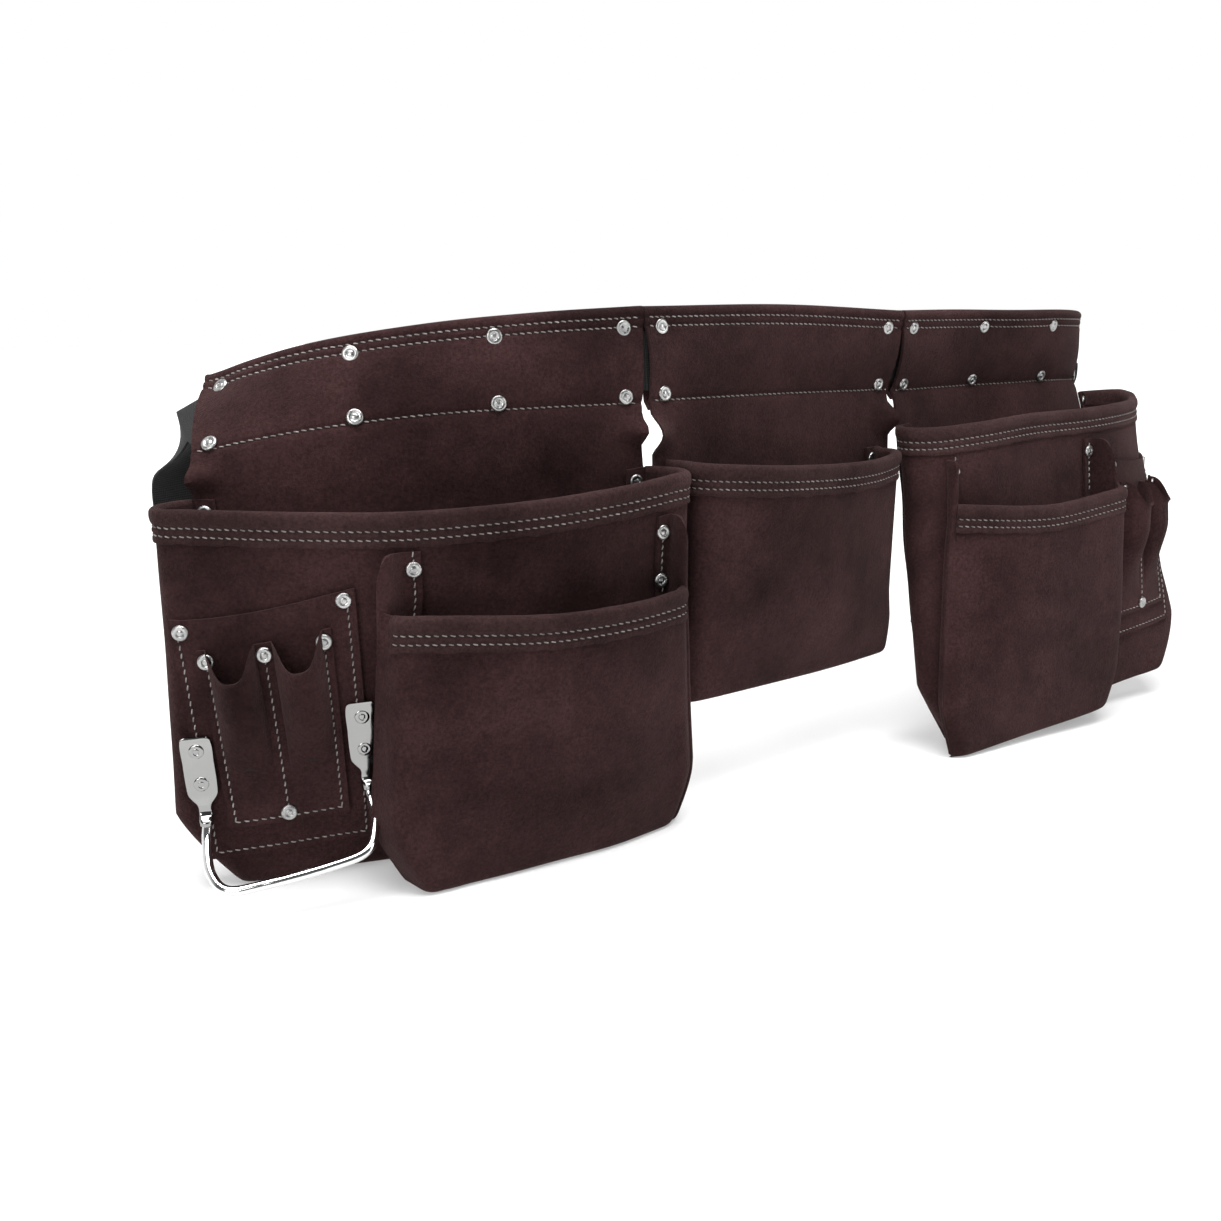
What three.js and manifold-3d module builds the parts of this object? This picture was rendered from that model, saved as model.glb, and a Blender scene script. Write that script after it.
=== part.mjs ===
// Suede tool belt: three leather units threaded on one webbing strap, standing on their pouches.
// Millimetres, +Z up, wearer's front towards -Y, origin at the middle of the box's foot.
import * as THREE from "three";
import { mergeVertices } from "three/addons/utils/BufferGeometryUtils.js";
import Module from "manifold-3d";

const wasm = await Module();
wasm.setup();

// Leather, clearances and the shortest edge that a pouch keeps
const LEATHER = 2.2;
const GAP = 0.4;
const FACE_GAP = 0.9;
const FINEST = 0.02;

// Back panels and sleeves
const SIDE_WIDTH = 275;
const CENTRE_WIDTH = 231;
const CENTRE_HEADING = 7.5;
const UNIT_GAP = 6;
const PANEL_HEIGHT = 324;
const SLEEVE_HEIGHT = 59;
const SLEEVE_DEPTH = 8.2;
const SEAM_BAND = 11;
const PANEL_TAPER = 2.6;
const PANEL_STEP = 30;
const SIDE_FOLD = 11;
const SIDE_FOLD_WIDTH = 20;
const RIM_CLEARANCE = 3;
const TUNNEL_OVERRUN = 6;

// Webbing and its buckle
const STRAP_WIDTH = 37;
const STRAP_THICKNESS = 2.2;
const FREE_LENGTH = 330;
const BUCKLE_LENGTH = 42;
const BUCKLE_SIDE = 5;
const BUCKLE_THICKNESS = 9;
const BUCKLE_SLOT_DEPTH = 14;

// Rivets
const RIVET_CAP = 10;
const RIVET_CAP_HEIGHT = 2;
const RIVET_SEAT = 0.8;
const RIVET_SHANK = 3;
const RIVET_WASHER = 8;
const RIVET_WASHER_HEIGHT = 1;
const RIVET_TOP_INSET = 13;
const RIVET_ROW_SPACING = 42;
const RIVET_END_INSET = 11;
const RIVET_SIDES = 8;
const HOLE_SIDES = 6;

// Pouches and pockets
const RIM_BELOW_SEAM = 36;
const CENTRE_RIM_BELOW_SEAM = 41;
const SMALL_RIM_BELOW_BIG = 59;
const CENTRE_FOOT = 70;
const CENTRE_INSET = 7;
const CENTRE_CHAMFER_WIDTH = 8;
const CENTRE_CHAMFER_HEIGHT = 30;
const HEM_HEIGHT = 20;
const HEM_THICKNESS = 1.6;
const FLANGE = 13;
const CORNER_RADIUS = 14;
const BIG_DEPTH = 50;
const BIG_FOOT_DEPTH = 15;
const BIG_INNER_OVERHANG = 13;
const BIG_OUTER_OVERHANG = 11;
const INNER_FLARE = 0.5;
const OUTER_FLARE = 11;
const CENTRE_FLARE = 1;
const CHAMFER_WIDTH = 24;
const CHAMFER_HEIGHT = 50;
const SMALL_DEPTH = 26;
const SMALL_START = 5;
const SMALL_WIDTH = 160;
const SMALL_FLANGE = 11;
const RIDGE_DEPTH = 8;
const RIDGE_CLEARANCE = 3;
const SMALL_INNER_FLARE = 17;
const SMALL_OUTER_FLARE = 20;
const SMALL_OUTER_OVERHANG = 6;
const SMALL_CHAMFER_WIDTH = 14;
const SMALL_INNER_CHAMFER_HEIGHT = 40;
const SMALL_CHAMFER_HEIGHT = 36;

// Tool panel and tool slots
const POCKET_SPACING = 22;
const PANEL_OVERHANG = 8;
const PANEL_BELOW_HEM = 53;
const TUBES = 2;
const TUBE_BULGE = 15;
const TUBE_FOOT = 0.3;

// Hammer holder
const PLATE_LENGTH = 54;
const PLATE_WIDTH = 17;
const PLATE_THICKNESS = 3;
const ROD = 5.5;
const ROD_DROP = 28;
const ROD_REACH = 32;

// Rivet rows and the strap between them, as heights up the panel
const UPPER_RIVETS = PANEL_HEIGHT - RIVET_TOP_INSET;
const LOWER_RIVETS = UPPER_RIVETS - RIVET_ROW_SPACING;
const STRAP_MIDDLE = (UPPER_RIVETS + LOWER_RIVETS) / 2;
const STRAP_TOP = STRAP_MIDDLE + STRAP_WIDTH / 2;
const WAIST = PANEL_HEIGHT - SLEEVE_HEIGHT;
const SEAM_FOOT = WAIST - SEAM_BAND / 2 - LEATHER;

// Rims below the sleeve's seam, and the tool panel beside the small pocket and below the big hem
const BIG_RIM = WAIST - RIM_BELOW_SEAM;
const CENTRE_RIM = WAIST - CENTRE_RIM_BELOW_SEAM;
const SMALL_RIM = BIG_RIM - SMALL_RIM_BELOW_BIG;
const POCKET_END = SMALL_START + SMALL_WIDTH;
const TOOL_PANEL_WIDTH = SIDE_WIDTH + PANEL_OVERHANG - POCKET_END - POCKET_SPACING;
const TOOL_PANEL_HEIGHT = BIG_RIM - HEM_HEIGHT - PANEL_BELOW_HEM;

const SUEDE = { color: 0x3b2a28, roughness: 0.95, metalness: 0 };
const WEBBING = { color: 0x121214, roughness: 0.85, metalness: 0 };
const PLASTIC = { color: 0x17171a, roughness: 0.5, metalness: 0 };
const CHROME = { color: 0xd8dade, roughness: 0.12, metalness: 1 };
const ZINC = { color: 0xc8cacd, roughness: 0.3, metalness: 1 };

const radians = THREE.MathUtils.degToRad;
const lerp = THREE.MathUtils.lerp;
const clamp = THREE.MathUtils.clamp;

// A smooth curve through one named column of a table whose rows are set out along `at`.
function column(table, name, at) {
  const last = table.length - 1;
  let i = 0;
  while (i < last - 1 && at > table[i + 1].at) i += 1;
  const [a, b] = [table[i], table[i + 1]];
  const slope = (p, q) => (q[name] - p[name]) / (q.at - p.at);
  const middle = slope(a, b);
  const before = i > 0 ? (slope(table[i - 1], a) + middle) / 2 : middle;
  const after = i < last - 1 ? (slope(b, table[i + 2]) + middle) / 2 : middle;
  const span = b.at - a.at;
  if (at <= a.at) return a[name] + before * (at - a.at);
  if (at >= b.at) return b[name] + after * (at - b.at);
  const t = (at - a.at) / span;
  const h1 = t * t * (3 - 2 * t);
  const h2 = t * (1 - t) * (1 - t) * span;
  const h3 = t * t * (t - 1) * span;
  return a[name] * (1 - h1) + b[name] * h1 + before * h2 + after * h3;
}

// The three level lines of each unit's back panel: its foot, its waist at the sleeve's lower seam and
// its top. `turn` is how far the line bends back, in degrees, `rise` its height as a share of the
// line's own height, both at shares of the unit's width counted from the middle of the belt outwards.
// `forward` and `along` place the line's start, as shares of the panel's height.
const LINES = {
  left: {
    foot: {
      forward: 0.035, along: 0,
      table: [
        { at: 0, turn: 3, rise: 0 },
        { at: 0.5, turn: 6, rise: 0 },
        { at: 1, turn: 9, rise: 0 },
      ],
    },
    waist: {
      forward: 0.006, along: 0,
      table: [
        { at: 0, turn: -1, rise: 1 },
        { at: 0.25, turn: 2, rise: 1 },
        { at: 0.5, turn: 9, rise: 0.995 },
        { at: 0.75, turn: 22, rise: 0.97 },
        { at: 1, turn: 34, rise: 0.925 },
      ],
    },
    top: {
      forward: 0, along: 0,
      table: [
        { at: 0, turn: -1, rise: 1 },
        { at: 0.25, turn: 4, rise: 0.99 },
        { at: 0.5, turn: 17, rise: 0.973 },
        { at: 0.75, turn: 38, rise: 0.942 },
        { at: 1, turn: 58, rise: 0.888 },
      ],
    },
  },
  centre: {
    foot: {
      forward: 0.055, along: 0,
      table: [
        { at: 0, turn: 0, rise: 0 },
        { at: 0.5, turn: 2, rise: 0 },
        { at: 1, turn: 5, rise: 0 },
      ],
    },
    waist: {
      forward: 0.015, along: 0,
      table: [
        { at: 0, turn: 4, rise: 1.005 },
        { at: 0.5, turn: 4, rise: 1 },
        { at: 1, turn: 4, rise: 0.99 },
      ],
    },
    top: {
      forward: 0, along: 0,
      table: [
        { at: 0, turn: 0, rise: 1 },
        { at: 0.5, turn: 0, rise: 1 },
        { at: 1, turn: 0, rise: 0.983 },
      ],
    },
  },
  right: {
    foot: {
      forward: 0.15, along: -0.02,
      table: [
        { at: 0, turn: 6, rise: 0 },
        { at: 0.4, turn: 6, rise: 0.02 },
        { at: 1, turn: 6, rise: 0.07 },
      ],
    },
    waist: {
      forward: -0.04, along: 0,
      table: [
        { at: 0, turn: 15, rise: 0.985 },
        { at: 0.22, turn: 10, rise: 0.985 },
        { at: 0.47, turn: 4, rise: 0.985 },
        { at: 0.7, turn: 12, rise: 0.985 },
        { at: 1, turn: 46, rise: 0.975 },
      ],
    },
    top: {
      forward: 0, along: 0,
      table: [
        { at: 0, turn: 13, rise: 0.983 },
        { at: 0.22, turn: 9, rise: 0.983 },
        { at: 0.47, turn: 4, rise: 0.98 },
        { at: 0.7, turn: 16, rise: 0.98 },
        { at: 1, turn: 62, rise: 0.975 },
      ],
    },
  },
};
const LINE_STEPS = 48;

// One unit's back surface: at(u, out, h) is the point at u along the width, h up the panel and `out`
// in front of it. Between its lines the surface is ruled, and beyond them it runs on straight.
function makeUnit(name, start, heading, side, width) {
  const heights = { foot: PANEL_HEIGHT, waist: WAIST, top: PANEL_HEIGHT };
  const lines = {};
  for (const key of ["foot", "waist", "top"]) {
    const spec = LINES[name][key];
    const turned = radians(heading);
    const points = [];
    let x = start.x + side * spec.along * PANEL_HEIGHT * Math.cos(turned);
    let y = start.y - spec.forward * PANEL_HEIGHT;
    for (let i = 0; i <= LINE_STEPS; i += 1) {
      points.push([x, y]);
      const angle = turned + radians(column(spec.table, "turn", (i + 0.5) / LINE_STEPS));
      x += (side * Math.cos(angle) * width) / LINE_STEPS;
      y += (Math.sin(angle) * width) / LINE_STEPS;
    }
    lines[key] = (u) => {
      const step = (u / width) * LINE_STEPS;
      const i = clamp(Math.floor(step), 0, LINE_STEPS - 1);
      const t = step - i;
      const [a, b] = [points[i], points[i + 1]];
      const share = clamp(u / width, 0, 1);
      const rise = column(spec.table, "rise", share) * heights[key];
      return new THREE.Vector3(lerp(a[0], b[0], t), lerp(a[1], b[1], t), rise);
    };
  }
  const surface = (u, h) => {
    if (h <= WAIST) return lines.foot(u).lerp(lines.waist(u), h / WAIST);
    return lines.waist(u).lerp(lines.top(u), (h - WAIST) / SLEEVE_HEIGHT);
  };
  const outward = (u, h) => {
    const across = surface(u + 2, h).sub(surface(u - 2, h));
    const level = new THREE.Vector3(across.y * side, -across.x * side, 0).normalize();
    const up = surface(u, h + 2).sub(surface(u, h - 2));
    const square = across.clone().cross(up).multiplyScalar(side).normalize();
    const blend = clamp((h - BIG_RIM - HEM_HEIGHT) / (WAIST - BIG_RIM - HEM_HEIGHT), 0, 1);
    return level.lerp(square, blend).normalize();
  };
  const at = (u, out, h) => surface(u, h).addScaledVector(outward(u, h), out);
  return { name, side, width, at, outward };
}

// Closed solid between rings of points that all run the same way round. Each quad is split from its
// lower near corner to its upper far one, so that the two faces of a twisted sheet stay parallel.
function loft(rings) {
  const count = rings[0].length;
  const positions = [];
  const triangles = [];
  const push = (p) => positions.push(p.x, p.y, p.z) / 3 - 1;
  rings.forEach((ring) => ring.forEach(push));
  for (let r = 0; r < rings.length - 1; r += 1) {
    for (let i = 0; i < count; i += 1) {
      const j = (i + 1) % count;
      const [a, b] = [r * count + i, r * count + j];
      const rising = rings[0][j].z >= rings[0][i].z;
      if (rising) triangles.push(a, b, b + count, a, b + count, a + count);
      else triangles.push(a, b, a + count, b, b + count, a + count);
    }
  }
  const cap = (ring, base, flip) => {
    const middle = ring.reduce((sum, p) => sum.add(p), new THREE.Vector3());
    const centre = push(middle.divideScalar(count));
    for (let i = 0; i < count; i += 1) {
      const j = (i + 1) % count;
      triangles.push(centre, base + (flip ? j : i), base + (flip ? i : j));
    }
  };
  cap(rings[0], 0, true);
  cap(rings.at(-1), (rings.length - 1) * count, false);
  return toSolid(positions, triangles);
}

// Closed sheet over a grid: point(i, j, side) gives its back (side 0) and front (side 1), and
// turned(i) says which columns split their quads along the other diagonal.
function sheet(columns, rows, point, turned = () => false) {
  const positions = [];
  const triangles = [];
  const index = (i, j, side) => (side * (rows + 1) + j) * (columns + 1) + i;
  for (const side of [0, 1]) {
    for (let j = 0; j <= rows; j += 1) {
      for (let i = 0; i <= columns; i += 1) {
        const p = point(i, j, side);
        positions.push(p.x, p.y, p.z);
      }
    }
  }
  const quad = (a, b, c, d) => triangles.push(a, b, c, a, c, d);
  for (let j = 0; j < rows; j += 1) {
    for (let i = 0; i < columns; i += 1) {
      const front = [index(i, j, 1), index(i + 1, j, 1), index(i + 1, j + 1, 1), index(i, j + 1, 1)];
      const back = [index(i, j, 0), index(i, j + 1, 0), index(i + 1, j + 1, 0), index(i + 1, j, 0)];
      for (const corners of [front, back]) {
        if (turned(i)) corners.push(corners.shift());
        quad(...corners);
      }
    }
    quad(index(0, j, 0), index(0, j, 1), index(0, j + 1, 1), index(0, j + 1, 0));
    quad(index(columns, j, 1), index(columns, j, 0), index(columns, j + 1, 0), index(columns, j + 1, 1));
  }
  for (let i = 0; i < columns; i += 1) {
    quad(index(i, 0, 0), index(i + 1, 0, 0), index(i + 1, 0, 1), index(i, 0, 1));
    quad(index(i, rows, 1), index(i + 1, rows, 1), index(i + 1, rows, 0), index(i, rows, 0));
  }
  return toSolid(positions, triangles);
}

// A closed mesh as a solid, turned right side out.
function toSolid(positions, triangles) {
  const make = (order) =>
    new wasm.Manifold(
      new wasm.Mesh({
        numProp: 3,
        vertProperties: new Float32Array(positions),
        triVerts: new Uint32Array(order),
      }),
    );
  const made = make(triangles);
  if (made.volume() > 0) return made;
  const turned = [];
  for (let i = 0; i < triangles.length; i += 3) {
    turned.push(triangles[i], triangles[i + 2], triangles[i + 1]);
  }
  return make(turned);
}

function fromGeometry(source) {
  const bare = source.clone();
  bare.deleteAttribute("normal");
  bare.deleteAttribute("uv");
  const merged = mergeVertices(bare, 1e-4);
  return toSolid([...merged.attributes.position.array], [...merged.index.array]);
}

const root = new THREE.Group();
root.name = "tool_belt";
function addPiece(name, solid, look) {
  const mesh = solid.getMesh();
  const step = mesh.numProp;
  const positions = new Float32Array(mesh.numVert * 3);
  for (let i = 0; i < mesh.numVert; i += 1) {
    positions.set(mesh.vertProperties.subarray(i * step, i * step + 3), i * 3);
  }
  const geometry = new THREE.BufferGeometry();
  geometry.setAttribute("position", new THREE.BufferAttribute(positions, 3));
  geometry.setIndex(new THREE.BufferAttribute(new Uint32Array(mesh.triVerts), 1));
  geometry.computeVertexNormals();
  const piece = new THREE.Mesh(geometry, new THREE.MeshStandardMaterial(look));
  piece.name = name;
  root.add(piece);
}

// The side edges of a pouch or panel at height h: [inner, outer], flared and chamfered to its foot.
function edges({ foot, height, from, to, flare, chamfer }, h) {
  const low = clamp(1 - (h - foot) / (height - foot), 0, 1);
  const cut = chamfer.map((c) => c.width * Math.max(0, 1 - (h - foot) / c.height) ** 1.3);
  return [from + cut[0] - flare[0] * low, to - cut[1] + flare[1] * low];
}

// The outline that a unit's big pouch and the back panel under it share.
function bigOutline(unit) {
  const centre = unit.name === "centre";
  const chamfer = centre
    ? { width: CENTRE_CHAMFER_WIDTH, height: CENTRE_CHAMFER_HEIGHT }
    : { width: CHAMFER_WIDTH, height: CHAMFER_HEIGHT };
  return {
    foot: centre ? CENTRE_FOOT : 0,
    height: centre ? CENTRE_RIM : BIG_RIM,
    from: 0,
    to: unit.width,
    flare: centre ? [CENTRE_FLARE, CENTRE_FLARE] : [INNER_FLARE, OUTER_FLARE],
    chamfer: [chamfer, chamfer],
  };
}

// Above the waist the sleeve narrows evenly to its top.
function panelEnds(unit, h) {
  if (h < WAIST) return edges(bigOutline(unit), h);
  const reach = PANEL_TAPER * (1 - (2 * (h - WAIST)) / SLEEVE_HEIGHT);
  return [-reach, unit.width + reach];
}

function panelShares(unit) {
  const steps = Math.round(unit.width / PANEL_STEP);
  const shares = [0, 0.5 / steps];
  for (let i = 1; i < steps; i += 1) shares.push(i / steps);
  return [...shares, 1 - 0.5 / steps, 1];
}

// The height just over the highest point of a unit's big rim.
function overRim(unit) {
  const highest = Math.max(...RIM_TABLE[unit.name].map(({ big }) => big));
  return bigOutline(unit).height * highest + RIM_CLEARANCE;
}

// Back panel: the hide's section runs up the front, folds over the top and comes down behind to the
// seam. `out` and `up` say where each of its corners lies.
function sleeveSection(unit) {
  const { foot, chamfer } = bigOutline(unit);
  const bevel = chamfer[0].height;
  const low = overRim(unit);
  const front = [
    { out: 0, up: foot },
    { out: 0, up: foot + bevel * 0.35 },
    { out: 0, up: foot + bevel },
    { out: 0, up: low },
    { out: 0, up: (low + SEAM_FOOT) / 2 },
    { out: 0, up: SEAM_FOOT },
  ];
  const seamTop = LOWER_RIVETS + RIVET_SHANK / 2;
  return {
    hide: [
      ...front,
      { out: 0, up: WAIST },
      { out: 0, up: STRAP_TOP },
      { out: 0, up: PANEL_HEIGHT - SLEEVE_DEPTH / 2 },
      { out: -SLEEVE_DEPTH * 0.25, up: PANEL_HEIGHT - SLEEVE_DEPTH * 0.1 },
      { out: -SLEEVE_DEPTH * 0.75, up: PANEL_HEIGHT - SLEEVE_DEPTH * 0.1 },
      { out: -SLEEVE_DEPTH, up: PANEL_HEIGHT - SLEEVE_DEPTH / 2 },
      { out: -SLEEVE_DEPTH, up: STRAP_TOP },
      { out: -SLEEVE_DEPTH, up: LOWER_RIVETS - RIVET_WASHER / 2 },
      { out: -2 * LEATHER, up: WAIST - SEAM_BAND / 2 },
      ...front.reverse().map(({ up }) => ({ out: -LEATHER, up })),
    ],
    tunnel: [
      { out: -LEATHER, up: seamTop },
      { out: -LEATHER, up: STRAP_TOP },
      { out: -LEATHER, up: PANEL_HEIGHT - SLEEVE_DEPTH / 2 },
      { out: -SLEEVE_DEPTH * 0.5, up: PANEL_HEIGHT - LEATHER * 1.3 },
      { out: LEATHER - SLEEVE_DEPTH, up: PANEL_HEIGHT - SLEEVE_DEPTH / 2 },
      { out: LEATHER - SLEEVE_DEPTH, up: STRAP_TOP },
      { out: LEATHER - SLEEVE_DEPTH, up: seamTop },
    ],
  };
}

// How far the panel's side edges fold forward between the pouch's rim and the seam.
function sideFold(unit, u, h) {
  const low = overRim(unit);
  const share = (h - low) / (SEAM_FOOT - low);
  if (share <= 0 || share >= 1) return 0;
  const room = clamp((SEAM_FOOT - low) / SIDE_FOLD_WIDTH, 0, 1);
  const edge = Math.min(u, unit.width - u);
  return SIDE_FOLD * room * Math.sin(Math.PI * share) * clamp(1 - edge / SIDE_FOLD_WIDTH, 0, 1);
}

function backPanel(unit, rivetSpots) {
  const { hide, tunnel } = sleeveSection(unit);
  const shares = panelShares(unit);
  const ring = (section, share, past = 0) =>
    section.map(({ out, up }) => {
      const [inner, outer] = panelEnds(unit, up);
      const u = lerp(inner, outer, share) + past;
      return unit.at(u, out + sideFold(unit, u, up), up);
    });
  const inside = [
    ring(tunnel, 0, -TUNNEL_OVERRUN),
    ...shares.map((share) => ring(tunnel, share)),
    ring(tunnel, 1, TUNNEL_OVERRUN),
  ];
  let solid = loft(shares.map((share) => ring(hide, share))).subtract(loft(inside));
  for (const spot of rivetSpots) solid = solid.subtract(rivetHole(unit, spot));
  return solid;
}

// Rivets stand square to the hide. A spot is where one goes: u, h and how deep the layers are.
function rivetSpots(unit) {
  const spots = [];
  const spans = unit.name === "centre" ? 1 : 3;
  for (let i = 0; i <= spans; i += 1) {
    const u = lerp(RIVET_END_INSET, unit.width - RIVET_END_INSET, i / spans);
    spots.push({ u, h: UPPER_RIVETS, depth: SLEEVE_DEPTH });
    spots.push({ u, h: LOWER_RIVETS, depth: SLEEVE_DEPTH });
  }
  return spots;
}

function placeOnAxis(geometry, origin, axis) {
  const turn = new THREE.Quaternion().setFromUnitVectors(new THREE.Vector3(0, 1, 0), axis);
  return geometry.applyQuaternion(turn).translate(origin.x, origin.y, origin.z);
}

function rivet(unit, { u, h, depth }) {
  const shank = RIVET_SHANK / 2;
  const back = -depth - RIVET_SEAT;
  const profile = [
    [0, back - RIVET_WASHER_HEIGHT],
    [RIVET_WASHER / 2, back - RIVET_WASHER_HEIGHT],
    [shank, back],
    [shank, RIVET_SEAT],
    [RIVET_CAP / 2, RIVET_SEAT],
    [RIVET_CAP * 0.36, RIVET_SEAT + RIVET_CAP_HEIGHT],
    [0, RIVET_SEAT + RIVET_CAP_HEIGHT],
  ].map(([x, y]) => new THREE.Vector2(x, y));
  const body = new THREE.LatheGeometry(profile, RIVET_SIDES);
  return fromGeometry(placeOnAxis(body, unit.at(u, 0, h), unit.outward(u, h)));
}

function rivetHole(unit, { u, h, depth }) {
  const radius = (RIVET_SHANK / 2 + GAP) / Math.cos(Math.PI / HOLE_SIDES);
  const length = depth + 8 * LEATHER;
  const hole = new THREE.CylinderGeometry(radius, radius, length, HOLE_SIDES);
  return fromGeometry(placeOnAxis(hole, unit.at(u, -depth / 2, h), unit.outward(u, h)));
}

// A pouch's wall in plan: a flange on what carries it, a gusset out to a round corner, the front,
// and back again. `reach` is the way in from the corner as a share of its radius, `deep` the way
// out as a share of the depth there.
const CORNER = [
  { reach: 0.05, deep: 0.4 },
  { reach: 0, deep: 0.72 },
  { reach: 0.3, deep: 0.93 },
  { reach: 1.1, deep: 1 },
];

function pouchWall(unit, spec) {
  const { base, depth, rim, foot, from, to, flange, hem, ridge } = spec;
  const ends = (h) => edges(spec, h);
  const overhang = (side, h) => spec.overhang[side] * clamp((h - foot) / CHAMFER_HEIGHT, 0, 1);
  const fronts = Math.max(4, Math.round((to - from) / (1.1 * PANEL_STEP)));
  const path = [];
  const addSide = (side, rows) => {
    for (const row of rows) {
      path.push((h) => {
        const [left, right] = ends(h);
        const edge = side === 0 ? left - overhang(0, h) : right + overhang(1, h);
        const u = edge + (side === 0 ? 1 : -1) * row.reach * CORNER_RADIUS;
        return { u, deep: row.deep, top: row.deep < 0.5 ? "ridge" : "rim" };
      });
    }
  };
  const addFlange = (side) => {
    const at = (inset, top) => (h) => {
      const [left, right] = ends(h);
      return { u: side === 0 ? left + inset : right - inset, deep: 0, top };
    };
    const rows = [at(flange, "ridge"), at(LEATHER, "ridge")];
    path.push(...(side === 0 ? rows : rows.reverse()));
  };
  addFlange(0);
  addSide(0, CORNER);
  for (let i = 1; i < fronts; i += 1) {
    path.push((h) => {
      const [left, right] = ends(h);
      const inset = 1.1 * CORNER_RADIUS;
      const start = left - overhang(0, h) + inset;
      const end = right + overhang(1, h) - inset;
      return { u: lerp(start, end, i / fronts), deep: 1, top: "rim" };
    });
  }
  addSide(1, [...CORNER].reverse());
  addFlange(1);

  const hemShare = hem / (spec.height - foot);
  const rows = [0, 0.08, 0.23, 0.45, 0.7, 1 - hemShare - 0.012, 1 - hemShare, 1];
  const height = (stop, share) => {
    const top = stop.top === "ridge" && ridge ? ridge.top(stop.u) : rim(stop.u);
    return foot + (top - foot) * share;
  };
  const plan = (k, share) => {
    const guess = path[k](foot + (spec.height - foot) * share);
    const h = height(guess, share);
    const stop = path[k](h);
    const raised = ridge && stop.deep > 0 && stop.deep < 0.5;
    const full = depth(stop.u, h);
    const deep = raised ? lerp(stop.deep * full, ridge.depth, share ** 3) : stop.deep * full;
    return { u: stop.u, out: base(stop.u, h) + deep + LEATHER / 2, h };
  };
  const count = path.length;
  const edgePoint = (k, j, push) => {
    const share = rows[j];
    const here = plan(k, share);
    const before = plan(Math.max(k - 1, 0), share);
    const after = plan(Math.min(k + 1, count - 1), share);
    const d1 = new THREE.Vector2(here.u - before.u, here.out - before.out).normalize();
    const d2 = new THREE.Vector2(after.u - here.u, after.out - here.out).normalize();
    const along = d1.clone().add(d2).normalize();
    const bend = Math.max(0.5, along.dot(k === 0 ? d2 : d1));
    return unit.at(here.u - (along.y * push) / bend, here.out + (along.x * push) / bend, here.h);
  };
  const wall = sheet(count - 1, rows.length - 1, (k, j, side) => {
    const hemmed = rows[j] >= 1 - hemShare - 1e-6 && k > 1 && k < count - 2;
    const front = LEATHER / 2 + (hemmed ? HEM_THICKNESS : 0);
    return edgePoint(k, j, side === 1 ? front : -LEATHER / 2);
  }, (k) => k === 0 || k === count - 2);
  const floorRing = (h) => {
    const share = (h - foot) / (spec.height - foot);
    const ring = [];
    for (let k = 1; k < count - 1; k += 1) {
      const { u, out } = plan(k, share);
      ring.push(unit.at(u, out, h));
    }
    for (let k = count - 3; k > 1; k -= 1) {
      const { u } = plan(k, share);
      ring.push(unit.at(u, base(u, h) + GAP / 4, h));
    }
    return ring;
  };
  return wall.add(loft([floorRing(foot), floorRing(foot + LEATHER)])).simplify(FINEST);
}

// Depths of the pouches in front of what carries them, as shares of the named depths, at shares of
// the unit's width from its inner end.
const BIG_TABLE = {
  left: [
    { at: -0.05, rim: 0.74, foot: 0.9 },
    { at: 0.15, rim: 0.98, foot: 0.95 },
    { at: 0.4, rim: 1.05, foot: 0.9 },
    { at: 0.75, rim: 0.9, foot: 0.95 },
    { at: 1.04, rim: 0.7, foot: 1.1 },
  ],
  right: [
    { at: -0.05, rim: 0.45, foot: 0.95 },
    { at: 0.15, rim: 0.95, foot: 1 },
    { at: 0.45, rim: 1.05, foot: 1 },
    { at: 0.8, rim: 1, foot: 1.2 },
    { at: 1.04, rim: 0.66, foot: 1.8 },
  ],
  centre: [
    { at: 0, rim: 0.5, foot: 0.8 },
    { at: 0.3, rim: 0.9, foot: 1 },
    { at: 0.7, rim: 0.85, foot: 0.9 },
    { at: 1, rim: 0.4, foot: 0.6 },
  ],
};
const SMALL_TABLE = {
  left: [
    { at: 0, rim: 0.8, foot: 0.85 },
    { at: 0.5, rim: 1.05, foot: 1.5 },
    { at: 1, rim: 0.6, foot: 1.9 },
  ],
  right: [
    { at: 0, rim: 0.45, foot: 0.5 },
    { at: 0.5, rim: 1, foot: 0.65 },
    { at: 1, rim: 1.2, foot: 0.8 },
  ],
};
// Rim heights as shares of the named ones, at shares of the unit's width.
const RIM_TABLE = {
  left: [
    { at: 0, big: 0.985, small: 0.94 },
    { at: 0.3, big: 0.955, small: 0.925 },
    { at: 0.6, big: 0.955, small: 0.96 },
    { at: 1, big: 1.03, small: 1 },
  ],
  centre: [
    { at: 0, big: 1.02 },
    { at: 0.35, big: 0.995 },
    { at: 0.7, big: 0.985 },
    { at: 1, big: 1.005 },
  ],
  right: [
    { at: 0, big: 1.045, small: 1.09 },
    { at: 0.3, big: 1.07, small: 1.06 },
    { at: 0.6, big: 1.075, small: 1.09 },
    { at: 1, big: 1.1, small: 1.1 },
  ],
};

function bigShape(unit) {
  const outline = bigOutline(unit);
  const { height, foot } = outline;
  const rims = RIM_TABLE[unit.name];
  const rim = (u) => height * column(rims, "big", clamp(u / unit.width, 0, 1));
  const table = BIG_TABLE[unit.name];
  const depth = (u, h) => {
    const at = clamp(u / unit.width, table[0].at, table.at(-1).at);
    const rise = clamp((h - foot) / (rim(u) - foot), 0, 1.1);
    const low = column(table, "foot", at) * BIG_FOOT_DEPTH;
    return lerp(low, column(table, "rim", at) * BIG_DEPTH, rise ** 0.8);
  };
  return { outline, rim, depth };
}

// Overhangs of the big rims past the panel, as shares of the named ones.
const OVERHANGS = {
  left: { inner: 1, outer: 1 },
  right: { inner: 0.9, outer: 0.55 },
};

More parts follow.
